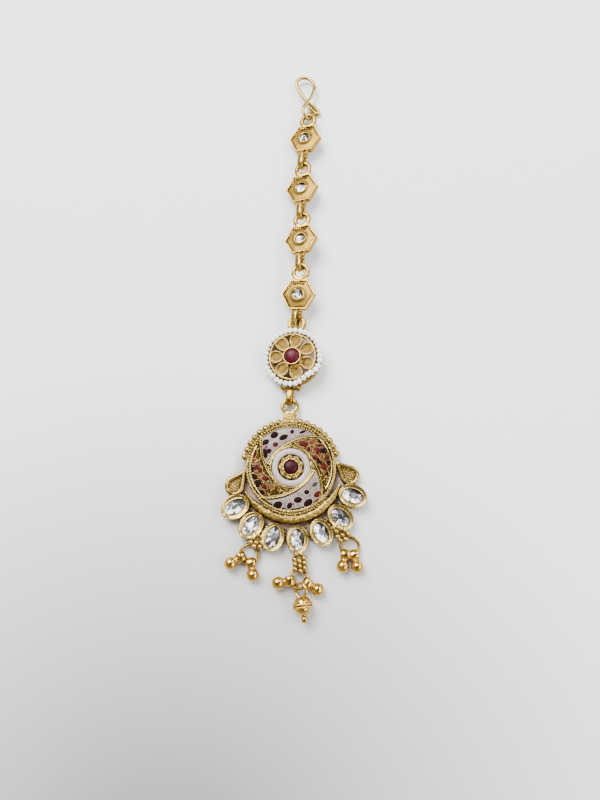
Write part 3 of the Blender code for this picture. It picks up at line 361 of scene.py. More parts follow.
# a dull dark brown standing for the disc's gold inner wall in shadow: painted shade
SHADED_WALL = clouded_material("painted_shade_wall", (0.17, 0.105, 0.035), (0.09, 0.05, 0.014), 1500.0, 0.6, 0.4)
PETAL_GOLD = gold_material(
    "petal_floor", (0.165, 0.100, 0.026), (0.025, 0.011, 0.002), (0.34, 0.22, 0.05), 0.9, 0.5, 4200.0, 0.6
)
ROUGH_GOLD = gold_material(
    "hammered_gold", (0.36, 0.24, 0.055), (0.035, 0.018, 0.003), (0.68, 0.48, 0.13), 0.97, 0.3, 3600.0, 1.0, 0.00009
)
# a dark gold: oxide, and painted shade where it lines grooves, walls and gaps in shadow
DARK_GOLD = gold_material(
    "oxide_and_painted_shade_gold", (0.07, 0.034, 0.008), (0.014, 0.006, 0.002), (0.26, 0.16, 0.05), 0.9, 0.5, 3600.0, 0.5
)
BRIGHT_GOLD = gold_material(
    "bright_gold", (0.72, 0.43, 0.082), (0.09, 0.040, 0.006), (0.86, 0.57, 0.16), 0.85, 0.17, 1500.0, 0.12
)
PALE_GOLD = gold_material(
    "pale_gold", (0.52, 0.37, 0.085), (0.15, 0.085, 0.018), (0.78, 0.58, 0.19), 0.8, 0.22, 1500.0, 0.15
)
WIRE_GOLD = gold_material(
    "worn_wire", (0.50, 0.33, 0.070), (0.16, 0.095, 0.018), (0.74, 0.52, 0.13), 0.45, 0.22, 1500.0, 0.15
)
OUTLINE_GOLD = gold_material(
    "petal_outline", (0.78, 0.53, 0.135), (0.50, 0.33, 0.080), (0.92, 0.67, 0.20), 0.2, 0.32, 1500.0, 0.15
)
CLEAR = facet_material("foiled_stone_painted_light", Roughness=0.08, Metallic=0.1, Coat_Weight=0.3, Coat_Roughness=0.04)
RUBY = clouded_material("ruby_stone", (0.045, 0.003, 0.007), (0.085, 0.005, 0.015), 900.0, 0.36, 0.16)
DARK_RUBY = clouded_material("dark_ruby_stone", (0.018, 0.0012, 0.003), (0.036, 0.002, 0.006), 900.0, 0.4, 0.14)
# the pearls glow a little by emission, a painted light that brightens them
PEARL = clouded_material(
    "seed_pearl", (0.95, 0.93, 0.91), (0.84, 0.81, 0.81), 1400.0, 0.3, bump=0.2,
    Coat_Weight=0.35, Coat_Roughness=0.15, Emission_Color=(1.0, 0.97, 0.96, 1), Emission_Strength=0.26,
)
WHITE_ENAMEL = clouded_material(
    "white_enamel", (0.15, 0.108, 0.088), (0.29, 0.226, 0.196), 1100.0, 0.34, 0.35, 0.6,
    Coat_Weight=0.12, Coat_Roughness=0.15,
)
RING_ENAMEL = clouded_material(
    "ring_enamel", (0.41, 0.335, 0.31), (0.49, 0.41, 0.385), 420.0, 0.28, bump=0.1,
    Coat_Weight=0.25, Coat_Roughness=0.12,
)
MAROON_ENAMEL = clouded_material("maroon_enamel", (0.004, 0.0008, 0.001), (0.014, 0.001, 0.0015), 1500.0, 0.5, 0.06)
RED_ENAMEL = clouded_material("red_enamel", (0.085, 0.003, 0.002), (0.018, 0.001, 0.001), 1900.0, 0.4, 0.12)
ORANGE_ENAMEL = clouded_material("orange_enamel", (0.16, 0.045, 0.008), (0.085, 0.008, 0.002), 1500.0, 0.4, 0.15)
PINK_ENAMEL = clouded_material("pink_enamel", (0.06, 0.003, 0.025), (0.22, 0.07, 0.13), 1500.0, 0.35, 0.2)
GREEN_ENAMEL = clouded_material("green_enamel", (0.02, 0.022, 0.009), (0.065, 0.06, 0.04), 1500.0, 0.35, 0.2)

# Shapes: each function gives a bmesh in millimetres


def outward(bm):
    bmesh.ops.recalc_face_normals(bm, faces=bm.faces)
    return bm


def corners_of(made):
    return [item for item in made["geom"] if isinstance(item, bmesh.types.BMVert)]


def lofted(loops, closed=False):
    """Rows of matching points, each row joined to the next, its end rows filled or joined."""
    bm = bmesh.new()
    ring = [bm.verts.new(point) for point in loops[0]]
    edges = first = [bm.edges.new(pair) for pair in zip(ring, ring[1:] + ring[:1])]
    for loop in loops[1:]:
        made = bmesh.ops.extrude_edge_only(bm, edges=edges)
        corners = corners_of(made)
        known = set(corners)
        edges = [
            item for item in made["geom"] if isinstance(item, bmesh.types.BMEdge) and known.issuperset(item.verts)
        ]
        for corner, point in zip(corners, loop):
            corner.co = point
    if closed:
        bmesh.ops.bridge_loops(bm, edges=first + edges)
    else:
        bmesh.ops.contextual_create(bm, geom=first)
        bmesh.ops.contextual_create(bm, geom=edges)
    return outward(bm)


def stations_along(route, up, closed=False, sizes=None):
    """Matrices that stand square to a route at each of its points."""
    count = len(route)
    places = []
    for index, point in enumerate(route):
        before = route[index - 1] if closed or index else point
        after = route[(index + 1) % count] if closed or index + 1 < count else point
        forward = (after - before).normalized()
        side = forward.cross(up).normalized()
        lift = side.cross(forward)
        size = sizes[index] if sizes else 1.0
        columns = (side * size, lift * size, forward, point)
        rows = [[column[axis] for column in columns] for axis in range(3)]
        places.append(Matrix((*rows, (0, 0, 0, 1))))
    return places


def swept(section, places, closed=False):
    """A section of XY points carried through the places."""
    return lofted([[place @ Vector((x, y, 0)) for x, y in section] for place in places], closed)


def round_section(radius, sides=10):
    angles = [math.tau * step / sides for step in range(sides)]
    return [(radius * math.cos(angle), radius * math.sin(angle)) for angle in angles]


def strap_section(width, height, corner=0.2, steps=3):
    """A rectangle with round corners."""
    points = []
    for quarter in range(4):
        middle_x = (width / 2 - corner) * (1 if quarter in (0, 3) else -1)
        middle_y = (height / 2 - corner) * (1 if quarter in (0, 1) else -1)
        for step in range(steps + 1):
            angle = math.pi / 2 * (quarter + step / steps)
            points.append((middle_x + corner * math.cos(angle), middle_y + corner * math.sin(angle)))
    return points


def wire(route, radius, closed=False, sides=10):
    """A round wire; its free ends are rounded off."""
    if closed:
        return swept(round_section(radius, sides), stations_along(route, UP, True), True)
    first = (route[1] - route[0]).normalized()
    last = (route[-1] - route[-2]).normalized()
    run = [route[0] - first * radius * 0.6, *route, route[-1] + last * radius * 0.6]
    sizes = [0.5, *[1.0] * len(route), 0.5]
    return swept(round_section(radius, sides), stations_along(run, UP, False, sizes))


def turned(profile, sides=48, closed=False):
    """A profile of (radius, height) rows, turned about Z."""
    bm = bmesh.new()
    points = [bm.verts.new((radius, 0, height)) for radius, height in profile]
    edges = [bm.edges.new(pair) for pair in zip(points, points[1:])]
    if closed:
        edges.append(bm.edges.new((points[-1], points[0])))
    bmesh.ops.spin(
        bm, geom=points + edges, cent=(0, 0, 0), axis=(0, 0, 1), angle=math.tau, steps=sides, use_merge=True
    )
    bmesh.ops.remove_doubles(bm, verts=bm.verts, dist=1e-5)
    return outward(bm)


def ring_band(radius, band, thickness, corner, sides=40):
    """A flat ring of rounded section about Z, its radius to the outer edge."""
    return turned([(radius - band / 2 + x, y) for x, y in strap_section(band, thickness, corner)], sides, True)


def stacked(rows, sides=48):
    """Level ovals on top of each other: rows of half length, half width and height."""
    circle = round_section(1.0, sides)
    return lofted([[Vector((long * x, wide * y, height)) for x, y in circle] for long, wide, height in rows])


def balls(rows, level=2):
    """Small balls from rows of x, y, z and radius."""
    bm = bmesh.new()
    for x, y, z, radius in rows:
        bmesh.ops.create_icosphere(bm, subdivisions=level, radius=radius, matrix=Matrix.Translation((x, y, z)))
    return bm


def smooth_ball(centre, radius, segments=40, rings=24):
    bm = bmesh.new()
    bmesh.ops.create_uvsphere(
        bm, u_segments=segments, v_segments=rings, radius=radius, matrix=Matrix.Translation(centre)
    )
    return bm


def gem(half_length, half_width, height, table, sides):
    """A cut stone: culet, pavilion, girdle, star and main facets and a table, as the hull of its corners."""
    bm = bmesh.new()
    rows = [
        (0.12, 0.0, 0.0, sides),
        (0.62, 0.32, 0.5, sides),
        (1.0, 0.5, 0.0, 2 * sides),
        (1.0, 0.56, 0.0, 2 * sides),
        (0.42 + 0.58 * table, 0.80, 0.5, sides),
        (0.12 + 0.88 * table, 0.93, 0.0, sides),
        (0.8 * table, 1.0, 0.5, sides),
    ]
    draw = random.Random(sides)
    for share, level, shift, count in rows:
        jitter = 0.22 if 0.5 < level < 1.0 else 0.0
        for step in range(count):
            angle = math.tau * (step + shift + draw.uniform(-jitter, jitter)) / count
            out = share * (1 + draw.uniform(-0.4, 0.4) * jitter)
            bm.verts.new((half_length * out * math.cos(angle), half_width * out * math.sin(angle), height * level))
    bmesh.ops.convex_hull(bm, input=bm.verts)
    bmesh.ops.dissolve_limit(bm, angle_limit=math.radians(2), verts=bm.verts, edges=bm.edges)
    return outward(bm)


def placed(bm, place):
    bmesh.ops.transform(bm, matrix=place, verts=bm.verts)
    return bm


def bevelled(bm, edges, width, segments):
    bmesh.ops.bevel(
        bm, geom=edges, offset=width, offset_type="OFFSET", affect="EDGES", segments=segments, profile=0.5,
        material=-1, clamp_overlap=True,
    )
    return bm


def rounded(bm, width, segments=2):
    """Bevels the edges that are sharper than 35 degrees."""
    limit = math.radians(35)
    sharp = [edge for edge in bm.edges if len(edge.link_faces) == 2 and edge.calc_face_angle(0.0) > limit]
    return bevelled(bm, sharp, width, segments)


def hammered(bm, depth, size, seed=0.0):
    """Moves each corner a little along its normal, in soft dents."""
    bm.normal_update()
    shift = Vector((seed * 7.3, seed * 3.1, seed * 5.7))
    moves = [vertex.normal * depth * noise.noise(vertex.co / size + shift) for vertex in bm.verts]
    for vertex, move in zip(bm.verts, moves):
        vertex.co += move
    return bm


def outline_solid(outline, low, high):
    """A flat outline in XY made solid."""
    bm = bmesh.new()
    face = bm.faces.new([bm.verts.new((x, y, low)) for x, y in outline])
    made = bmesh.ops.extrude_face_region(bm, geom=[face])
    bmesh.ops.translate(bm, verts=corners_of(made), vec=(0, 0, high - low))
    return outward(bm)


def in_scene(name, data):
    made = bpy.data.objects.new(name, data)
    bpy.context.scene.collection.objects.link(made)
    return made


def finish_piece(name, shapes, finishes, nodes, place=None, sharp=40, facets=False):
    """Joins a shape, or some with the number of their finish or None, into a piece in the row's frame."""
    whole = bmesh.new()
    for shape, number in shapes if isinstance(shapes, list) else [(shapes, 0)]:
        for face in shape.faces:
            if number is not None:
                face.material_index = number
            face.smooth = not facets
        part = bpy.data.meshes.new(name)
        shape.to_mesh(part)
        shape.free()
        whole.from_mesh(part)
        bpy.data.meshes.remove(part)
    bmesh.ops.transform(whole, matrix=TO_ROW @ (place or Matrix()), verts=whole.verts)
    mesh = bpy.data.meshes.new(name)
    whole.to_mesh(mesh)
    whole.free()
    for finish in finishes:
        mesh.materials.append(finish)
    if not facets:
        mesh.set_sharp_from_angle(angle=math.radians(sharp))
    piece = in_scene(name, mesh)
    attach(piece, "root")
    if nodes:
        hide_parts(*nodes)
    return piece


def finish_frame(name, shapes, place=PENDANT, sharp=40, finishes=(GOLD,)):
    """A piece of the pendant's soldered frame."""
    finish_piece(name, shapes, finishes, ["pendant_frame"], place, sharp)


def cut_stone(name, stone, node, place, seed, light_way):
    """A clear stone with painted light and shade: facets white towards the light's way, grey away from it, mixed at
    random.
    """
    mesh = finish_piece(name, stone, [CLEAR], [node], place, facets=True).data
    draw = random.Random(seed)
    painted_tones = mesh.color_attributes.new("facet_painted_light", "FLOAT_COLOR", "CORNER")
    for face in mesh.polygons:
        # facets facing the light are painted bright, those turned away painted darker: painted light and shade
        facing = face.normal.x * light_way[0] + face.normal.y * light_way[1]
        lean = math.hypot(face.normal.x, face.normal.y)
        tone = 0.80 - 0.4 * lean + 1.0 * facing + draw.uniform(-0.25, 0.25)
        if draw.random() < (0.8 if facing < 0.0 else 0.3):
            tone *= draw.uniform(0.08, 0.55)
        # steep facets round the girdle get painted shade
        if face.normal.z < 0.3:
            tone = 0.08
        tone = min(max(tone, 0.03), 1.0)
        for corner in face.loop_indices:
            painted_tones.data[corner].color = (tone, tone * (0.94 + 0.05 * tone), tone, 1)


# Linked pieces


def laid(name):
    row = LAY[name]
    lean = turn_z(-row["lean"])
    pitch = Matrix.Rotation(math.radians(-row["pitch"]), 4, "X")
    roll = Matrix.Rotation(math.radians(-row["roll"]), 4, "Y")
    return lean @ pitch @ roll


def hung_on(name, reach, band, carried):
    """The place of a piece whose tab loop holds the eye's band below it."""
    hold = Vector((0, -(reach - TAB_STRAP - LINK_GAP - band / 2), 0))
    slack = Vector((0, LAY[name]["slack"] * TAB_REACH, 0))
    turn = laid(name)
    return Matrix.Translation(carried - turn @ (hold + slack)) @ turn


def band_of(place, offset):
    return place @ Vector((0, offset + EYE_RADIUS - EYE_BAND / 2, 0))


def stadium_route(start, end, height, steps=9):
    """The middle line of an upright loop along -Y, as points in the YZ plane."""
    radius = (height - TAB_STRAP) / 2
    far = -end + TAB_STRAP / 2 + radius
    near = -start - TAB_STRAP / 2 - radius
    route = []
    for middle, quarter in ((far, math.pi / 2), (near, -math.pi / 2)):
        for step in range(steps + 1):
            angle = quarter + math.pi * step / steps
            route.append(Vector((0, middle + radius * math.cos(angle), radius * math.sin(angle))))
    return route


def tab_loop(start, end, seed):
    section = strap_section(TAB_STRAP, TAB_WIDTH + 0.15, 0.3)
    loop = swept(section, stations_along(stadium_route(start, end, TAB_HEIGHT), Vector((1, 0, 0)), True), True)
    return hammered(loop, 0.07, 1.1, seed)


def eye_ring(along, seed):
    eye = placed(ring_band(EYE_RADIUS + 0.06, 1.16, 0.96, 0.38), Matrix.Translation((0, along, 0)))
    return hammered(eye, 0.10, 1.2, seed)


def hex_loop(across_flats, height, per_side=6):
    """Points round a hexagon with corners on the X axis, some on each side."""
    corners = [polar(60 * index, across_flats / math.sqrt(3)) for index in range(7)]
    loop = []
    for first, second in zip(corners, corners[1:]):
        for step in range(per_side):
            point = first.lerp(second, step / per_side)
            loop.append(Vector((*point, height)))
    return loop


# The link's bezel inwards from its foot: radius, and height above the plate
BEZEL_ROWS = [
    (2.62, 0.42), (2.1, 0.50), (1.86, 0.64), (1.68, 0.84), (1.57, 0.95), (1.46, 0.96), (1.37, 0.9), (1.3, 0.3),
]


def link_shapes(seed):
    """A hexagonal link about the middle of its plate: rim, sloping floor, bezel, eye, loop and granules."""
    draw = random.Random(seed)
    top = HEX_PLATE / 2
    rim = top + 0.6
    across = HEX_ACROSS_FLATS
    rows = [
        (0.25, -top), (0, -top + 0.12), (0, rim - 0.12), (0.16, rim), (0.62, rim), (0.76, rim - 0.1),
        (0.84, top + 0.12), (1.10, top + 0.12), (1.22, top + 0.32), (1.5, top + 0.36),
    ]
    loops = [hex_loop(across - inset, height) for inset, height in rows]
    loops += [circle_points(radius, top + height, 36) for radius, height in BEZEL_ROWS]
    plate = hammered(lofted(loops), 0.06, 0.9, seed)
    for face in plate.faces:
        middle = face.calc_center_median()
        flats = max(abs(middle.xy.dot(polar(30 + 60 * side, 1.0))) for side in range(3))
        spread = middle.xy.length
        # the groove and the bezel's inner wall take the dark gold, oxide and painted shade in these hollows, as does
        # a strip of floor under the top rim
        if 2.75 < middle.y < 3.2 and abs(middle.x) < 1.6 and middle.z > top + 0.3:
            face.material_index = 2
        elif (middle.z >= top + 0.02 or spread <= 1.5) and flats <= (across - 0.78) / 2:
            groove = flats > (across - 1.16) / 2 or spread < 1.32
            face.material_index = 2 if groove else int(spread > 1.75)
    teeth = bmesh.new()
    for side, shares in ((120, (0.16, 0.3, 0.44, 0.58)), (60, (0.94, 0.8, 0.66, 0.52))):
        near = polar(side, (across - 1.35) / math.sqrt(3))
        far = polar(side + 60, (across - 1.35) / math.sqrt(3))
        for share in shares:
            spot = near.lerp(far, share + draw.uniform(-0.02, 0.02))
            place = lay_up((spot.x, spot.y, top + 0.46), side + 30 + draw.uniform(-12, 12))
            size = Matrix.Diagonal((0.46 + draw.uniform(-0.06, 0.06), 0.13, 0.2, 1))
            bmesh.ops.create_icosphere(teeth, subdivisions=2, radius=1.0, matrix=place @ size)
    bar = rounded(outline_solid([(-2.1, 3.62), (2.1, 3.62), (2.0, 4.86), (-2.0, 4.86)], -0.38, 0.38), 0.16)
    loop = placed(
        tab_loop(across / 2 - 0.3, across / 2 + TAB_REACH, seed + 0.8),
        Matrix.Translation((-0.3, 0, 0)) @ Matrix.Rotation(math.radians(-14), 4, "Y"),
    )
    rows = [(1.0, 1.35, 1.1, 0.58), (1.1, 0.5, 0.8, 0.46), (0.85, 2.15, 0.8, 0.46)]
    granules = hammered(balls([(x, -across / 2 - y, z, radius) for x, y, z, radius in rows], 3), 0.06, 0.5, seed)
    eye = eye_ring(LINK_EYE, seed + 0.5)
    return [(plate, None), (teeth, 3), (eye, 0), (bar, 0), (loop, 3), (granules, 0)]


def finish_link(number, place):
    golds = [LINK_GOLD, FLOOR_GOLD, DARK_GOLD, WIRE_GOLD]
    finish_piece(f"link_{number}_cast", link_shapes(3 + number), golds, [f"link_{number}"], place)
    stone = placed(gem(1.28, 1.28, 1.05, 0.45, 7), lay_up((0, 0, HEX_PLATE / 2 - 0.1), 11 * number))
    cut_stone(f"link_gem_{number}", stone, f"link_stone_{number}", place, 20 + number, (-0.75, -0.65))


def dome_rows(radius, low, rise):
    """Rows of a domed stone above its girdle."""
    return [
        (radius * math.cos(angle), radius * math.cos(angle), low + rise * math.sin(angle))
        for angle in (0.235, 0.47, 0.705, 0.94, 1.18, 1.38, 1.52)
    ]


def petal_shapes(inner, wire_top, plate_top):
    """The outline wires and the hatched floors of the disc's petals."""
    petal_in = DISC_BEZEL_RADIUS - SOLDER
    long = (inner + SOLDER - petal_in) / 2
    wires = []
    floors = []
    for petal in range(PETAL_COUNT):
        way = PETAL_FIRST + 360 * petal / PETAL_COUNT
        spot = lay_up(polar(way, petal_in + long), way)
        outline = [(long * x, (1.60 + 0.32 * x) * y) for x, y in round_section(1.0, 40)]
        for share, height, radius in ((0.95, wire_top - 0.12, 0.2), (0.70, plate_top + 0.1, 0.1)):
            route = [Vector((x * share, y * (share - 0.04), height)) for x, y in outline]
            wires.append((placed(wire(route, radius, closed=True, sides=8), spot), 3))
        bed = outline_solid([(x * 0.95, y * 0.93) for x, y in outline], plate_top - 0.55, plate_top)
        floors.append((placed(bed, spot), 1))
        for line in range(-4, 5):
            x = 0.27 * line + 0.08
            half = (1.60 + 0.32 * x / long) * math.sqrt(max(0.0, 1 - (x / long) ** 2)) * 0.60
            if half > 0.2:
                bent = ((x - 0.16, -half, 0), (x + 0.04, 0, 0.02), (x - 0.16, half, 0))
                route = [Vector((along, across, plate_top + rise)) for along, across, rise in bent]
                floors.append((placed(wire(route, 0.05, sides=6), spot), 1))
    return wires + floors


def finish_pearls(place, radius, height):
    """The seed pearls on their thread, riding up on the rim at one side, where the flange shows."""
    draw = random.Random(8)
    pearls = bmesh.new()
    string = []
    for index in range(PEARL_COUNT):
        way = 360 * (index + 0.5) / PEARL_COUNT + draw.uniform(-0.7, 0.7)
        size = draw.uniform(0.95, 1.05)
        bare = math.exp(-(((way - 310) / 21) ** 2))
        reach = radius + 0.04 - 0.6 * bare + draw.uniform(-0.05, 0.06)
        string.append(Vector((*polar(way, reach), height + 1.2 * bare + draw.uniform(-0.04, 0.04))))
        spot = lay_up(string[-1], way + draw.uniform(-5, 5))
        shape = Matrix.Diagonal((0.74 * size, 0.63 * size, 0.7 * size, 1))
        bmesh.ops.create_uvsphere(pearls, u_segments=20, v_segments=14, radius=1.0, matrix=spot @ shape)
    shapes = [(hammered(pearls, 0.07, 0.7, 3), 0), (wire(string, 0.16, closed=True, sides=8), 1)]
    finish_piece("pearls", shapes, [PEARL, PALE_GOLD], ["pearl_string"], place, 60)


def finish_disc(place):
    """The pearl disc: flange, rim, seven-petal flower, bezel with its ruby, loops, balls and pearls."""
    low = -FLANGE_THICKNESS / 2
    rim_top = -low + DISC_RIM_RISE
    inner = DISC_RIM_RADIUS - 0.4
    profile = [
        (inner, low + 0.1), (inner, rim_top - 0.1), (inner + 0.05, rim_top), (inner + 0.15, rim_top),
        (inner + 0.2, rim_top - 0.16), (inner + 0.26, rim_top - 0.22), (DISC_RIM_RADIUS - 0.05, rim_top - 0.34),
        (DISC_RIM_RADIUS, rim_top - 0.5), (DISC_RIM_RADIUS, -low + 0.04), (DISC_RIM_RADIUS + 0.05, -low),
        (6.8, -low), (FLANGE_RADIUS - 0.12, -low), (FLANGE_RADIUS, -low - 0.12), (FLANGE_RADIUS, low + 0.12),
        (FLANGE_RADIUS - 0.12, low), (inner + 0.1, low),
    ]
    flange = turned(profile, 120, True)
    for vertex in flange.verts:
        # the rim's inner wall runs in under the petals on the left
        toward = max(0.0, math.cos(math.atan2(vertex.co.y, vertex.co.x) - math.radians(172)))
        if vertex.co.xy.length < inner + 0.15 and vertex.co.z < 0:
            vertex.co.xy *= 1 - 0.26 * toward**0.6
    hammered(flange, 0.05, 1.3, 2)
    wire_top = rim_top - 0.05
    plate_top = wire_top - 0.5
    lip = wire_top + 0.7
    profile = [
        (0, plate_top - 0.5), (2.36, plate_top - 0.5), (2.32, plate_top + 0.3), (2.28, lip - 0.3), (2.26, lip - 0.1),
        (2.18, lip), (2.04, lip), (1.94, lip - 0.12), (1.9, plate_top - 0.1), (0, plate_top - 0.1),
    ]
    bezel = hammered(turned(profile, 64), 0.04, 0.9, 5)
    grains = balls([(*polar(way, 2.95), wire_top + 0.1, 0.33) for way in (-7, -28, -49, -70, -90, -109)], 3)
    string_radius = DISC_RIM_RADIUS + STONE_GAP + PEARL_RADIUS
    start = string_radius + PEARL_RADIUS + STONE_GAP
    loop = tab_loop(start, FLANGE_RADIUS + DISC_TAB_REACH, 4.4)
    end = start + 0.56
    tongue = outline_solid([(-1.4, -end), (1.4, -end), (1.6, -7.1), (-1.6, -7.1)], low + 0.12, -low - 0.12)
    rounded(tongue, 0.1)
    middle = -(7.11 + end) / 2
    rows = [
        (-1.96, middle, 0.1, 0.82), (1.96, middle, 0.1, 0.82), (0.95, middle + 0.1, 0.62, 0.42),
        (-0.9, middle + 0.2, 0.6, 0.36),
    ]
    knobs = hammered(balls(rows, 3), 0.08, 0.6, 6)
    shapes = [(shape, 0) for shape in (flange, bezel, grains, eye_ring(DISC_EYE, 9), loop, tongue, knobs)]
    shapes += petal_shapes(inner, wire_top, plate_top)
    golds = [LINK_GOLD, PETAL_GOLD, DARK_GOLD, OUTLINE_GOLD, SHADED_WALL]
    cast = finish_piece("disc_cast", shapes, golds, ["disc_casting"], place)
    back = (TO_ROW @ place).inverted()
    for face in cast.data.polygons:
        local = back @ face.center
        spread = local.xy.length
        # the flange's top under and between the pearls takes the dark gold: painted shade under them
        if DISC_RIM_RADIUS - 0.02 < spread < 6.7 and abs(local.z + low) < 0.1 and local.y > -6.9:
            face.material_index = 2
        # the rim's inner wall, seen in the gaps between the petals, gets the flat dark brown: painted shade on a wall
        # in shadow
        elif 2.6 < spread < inner + 0.02 and face.material_index == 0 and local.z < rim_top - 0.3:
            face.material_index = 4
    ruby = stacked([(1.72, 1.72, plate_top), (1.8, 1.8, lip - 0.3)] + dome_rows(1.8, lip - 0.28, 0.7))
    finish_piece("disc_cabochon", ruby, [RUBY], ["disc_ruby"], place, 60)
    finish_pearls(place, string_radius, EYE_THICKNESS / 2 + STONE_GAP + PEARL_RADIUS)


# Main pendant


def sweep_centre(index):
    way = SWEEP_TURN + 90 * index
    return polar(way + 180, SWEEP_RADIUS - SWEEP_TANGENT_RADIUS), way


def sweep_route(index, radius, height):
    """Points along a sweeping wire, from before its touch on the ring, clockwise to the wall."""
    centre, way = sweep_centre(index)
    offset = SWEEP_RADIUS - SWEEP_TANGENT_RADIUS
    reach = MEDALLION_RADIUS - MEDALLION_WALL / 2
    swing = math.degrees(math.acos((radius**2 + offset**2 - reach**2) / (2 * radius * offset)))
    return arc(way + SWEEP_LEAD, way - swing, radius, height, 40, centre)


def granule_row(start, end, radius, height, size, draw, tightness=2.0):
    """Rows of granules that touch, along an arc about the medallion's middle."""
    rows = []
    way = start
    while way < end:
        spread = draw.uniform(0.9, 1.06)
        spot = polar(way, radius + draw.uniform(-0.05, 0.05))
        rows.append((*spot, height + draw.uniform(-0.04, 0.04), size * spread))
        way += math.degrees(tightness * size / radius)
    return rows


def finish_medallion():
    """The medallion's wall with its sweeping wires, granules and beads."""
    base = MEDALLION_BASE
    ring = SWEEP_TANGENT_RADIUS
    edge = MEDALLION_RADIUS
    profile = [
        (0, base), (4.8, base), (4.8, 2.55), (4.86, 2.68), (4.98, 2.72), (5.09, 2.68), (ring, 2.55), (ring, base),
        (10.3, base), (10.3, 2.36), (10.4, 2.5), (10.66, 2.54), (10.93, 2.46), (edge, 2.3), (edge, 0.15),
        (10.9, 0), (0, 0),
    ]
    shapes = [(hammered(turned(profile, 144), 0.08, 0.9, 1), 0)]
    for index in range(4):
        for radius, width, height in ((SWEEP_RADIUS, 0.40, 2.1), (SWEEP_RADIUS - 0.42, 0.13, 1.85)):
            section = strap_section(width, height, 0.45 * min(width, 0.4))
            route = sweep_route(index, radius, base + height / 2)
            shapes.append((swept(section, stations_along(route, UP)), 0))
    for start, end in ((-38, 50), (142, 232)):
        shapes.append((wire(arc(start, end, 9.9, 2.55, 40), 0.15, sides=8), 0))
    finish_frame("medallion_cast", shapes)
    draw = random.Random(12)
    rows = granule_row(25, 160, 10.72, 2.62, 0.35, draw) + granule_row(161, 384, 10.72, 2.5, 0.31, draw, 2.1)
    rows += granule_row(52, 205, 10.12, 2.5, 0.28, draw, 2.2) + granule_row(242, 301, 11.3, 2.2, 0.29, draw, 2.1)
    finish_frame("medallion_granules", hammered(balls(rows), 0.10, 0.4, 2))
    ways = [BEAD_FIRST + BEAD_PITCH * index for index in range(BEAD_COUNT)]
    rows = []
    for way in ways:
        if abs(way - 90 + NECK_TURN) > 8:  # the neck's foot covers the beads there
            rows.append((*polar(way, BEAD_SEAT), 1.9, BEAD_RADIUS * draw.uniform(0.98, 1.06)))
    big = hammered(balls(rows, 3), 0.07, 0.8, 4)
    small = balls([(*polar(BEAD_FIRST + BEAD_PITCH * (n + 0.5), 11.3), 2.35, 0.27) for n in range(BEAD_COUNT - 1)])
    bed = hammered(wire(arc(ways[0], ways[-1], 11.42, 1.55, 60), 0.62, sides=12), 0.12, 0.6, 3)
    steps = 36
    taper = [0.2 + 0.8 * math.sin(math.pi * step / steps) ** 0.6 for step in range(steps + 1)]
    seat = stations_along(arc(228, 314, 11.2, 1.75, steps), UP, False, taper)
    step_down = hammered(swept(round_section(0.5, 12), seat), 0.08, 0.6, 4)
    finish_frame("medallion_beads", [(big, 0), (small, 0), (bed, 0), (step_down, 0)])
    rows = granule_row(0, 359, 5.44, 2.3, 0.27, draw, 2.1)
    turns = [SWEEP_TURN + 90 * index + turn for index in range(4) for turn in (20, 26, 32)]
    rows += [(*polar(way, 5.98), 2.2, 0.27) for way in turns]
    finish_frame("ring_granules", hammered(balls(rows), 0.08, 0.4, 7))


def finish_centre():
    """The enamel ring, the granular collar and the domed stone."""
    inner, outer = 3.2, 4.68
    low = 0.98
    profile = [
        (inner, low), (inner, 2.5), (inner + 0.18, 2.72), ((inner + outer) / 2, 2.88), (outer - 0.2, 2.72),
        (outer, 2.48), (outer, low),
    ]
    ring = hammered(turned(profile, 96, True), 0.05, 1.6, 3)
    finish_piece("enamel_ring_smooth", ring, [RING_ENAMEL], ["enamel_ring"], PENDANT, 50)
    profile = [
        (1.76, low), (1.76, 3.0), (1.86, 3.16), (2.05, 3.14), (2.3, 2.95), (2.66, 2.84), (2.82, 2.66), (2.86, low),
    ]
    collar = hammered(turned(profile, 60, True), 0.1, 0.5, 8)
    rows = [(*polar(40 * index + 12, 2.66), 2.72, 0.5) for index in range(9)]
    rows += [(*polar(20 * index + 2, 2.56), 2.98, 0.26) for index in range(18)]
    rows += [(*polar(360 * index / 14 + 9, 2.14), 3.05, 0.24) for index in range(14)]
    shapes = [(collar, 0), (hammered(balls(rows), 0.1, 0.35, 5), 0)]
    finish_piece("collar_rosette", shapes, [ROUGH_GOLD], ["rosette_collar"], PENDANT)
    stone = stacked([(1.6, 1.6, low), (1.66, 1.66, 3.0)] + dome_rows(1.66, 3.02, 0.62))
    finish_piece("centre_cabochon", stone, [DARK_RUBY], ["centre_ruby"], PENDANT, 60)


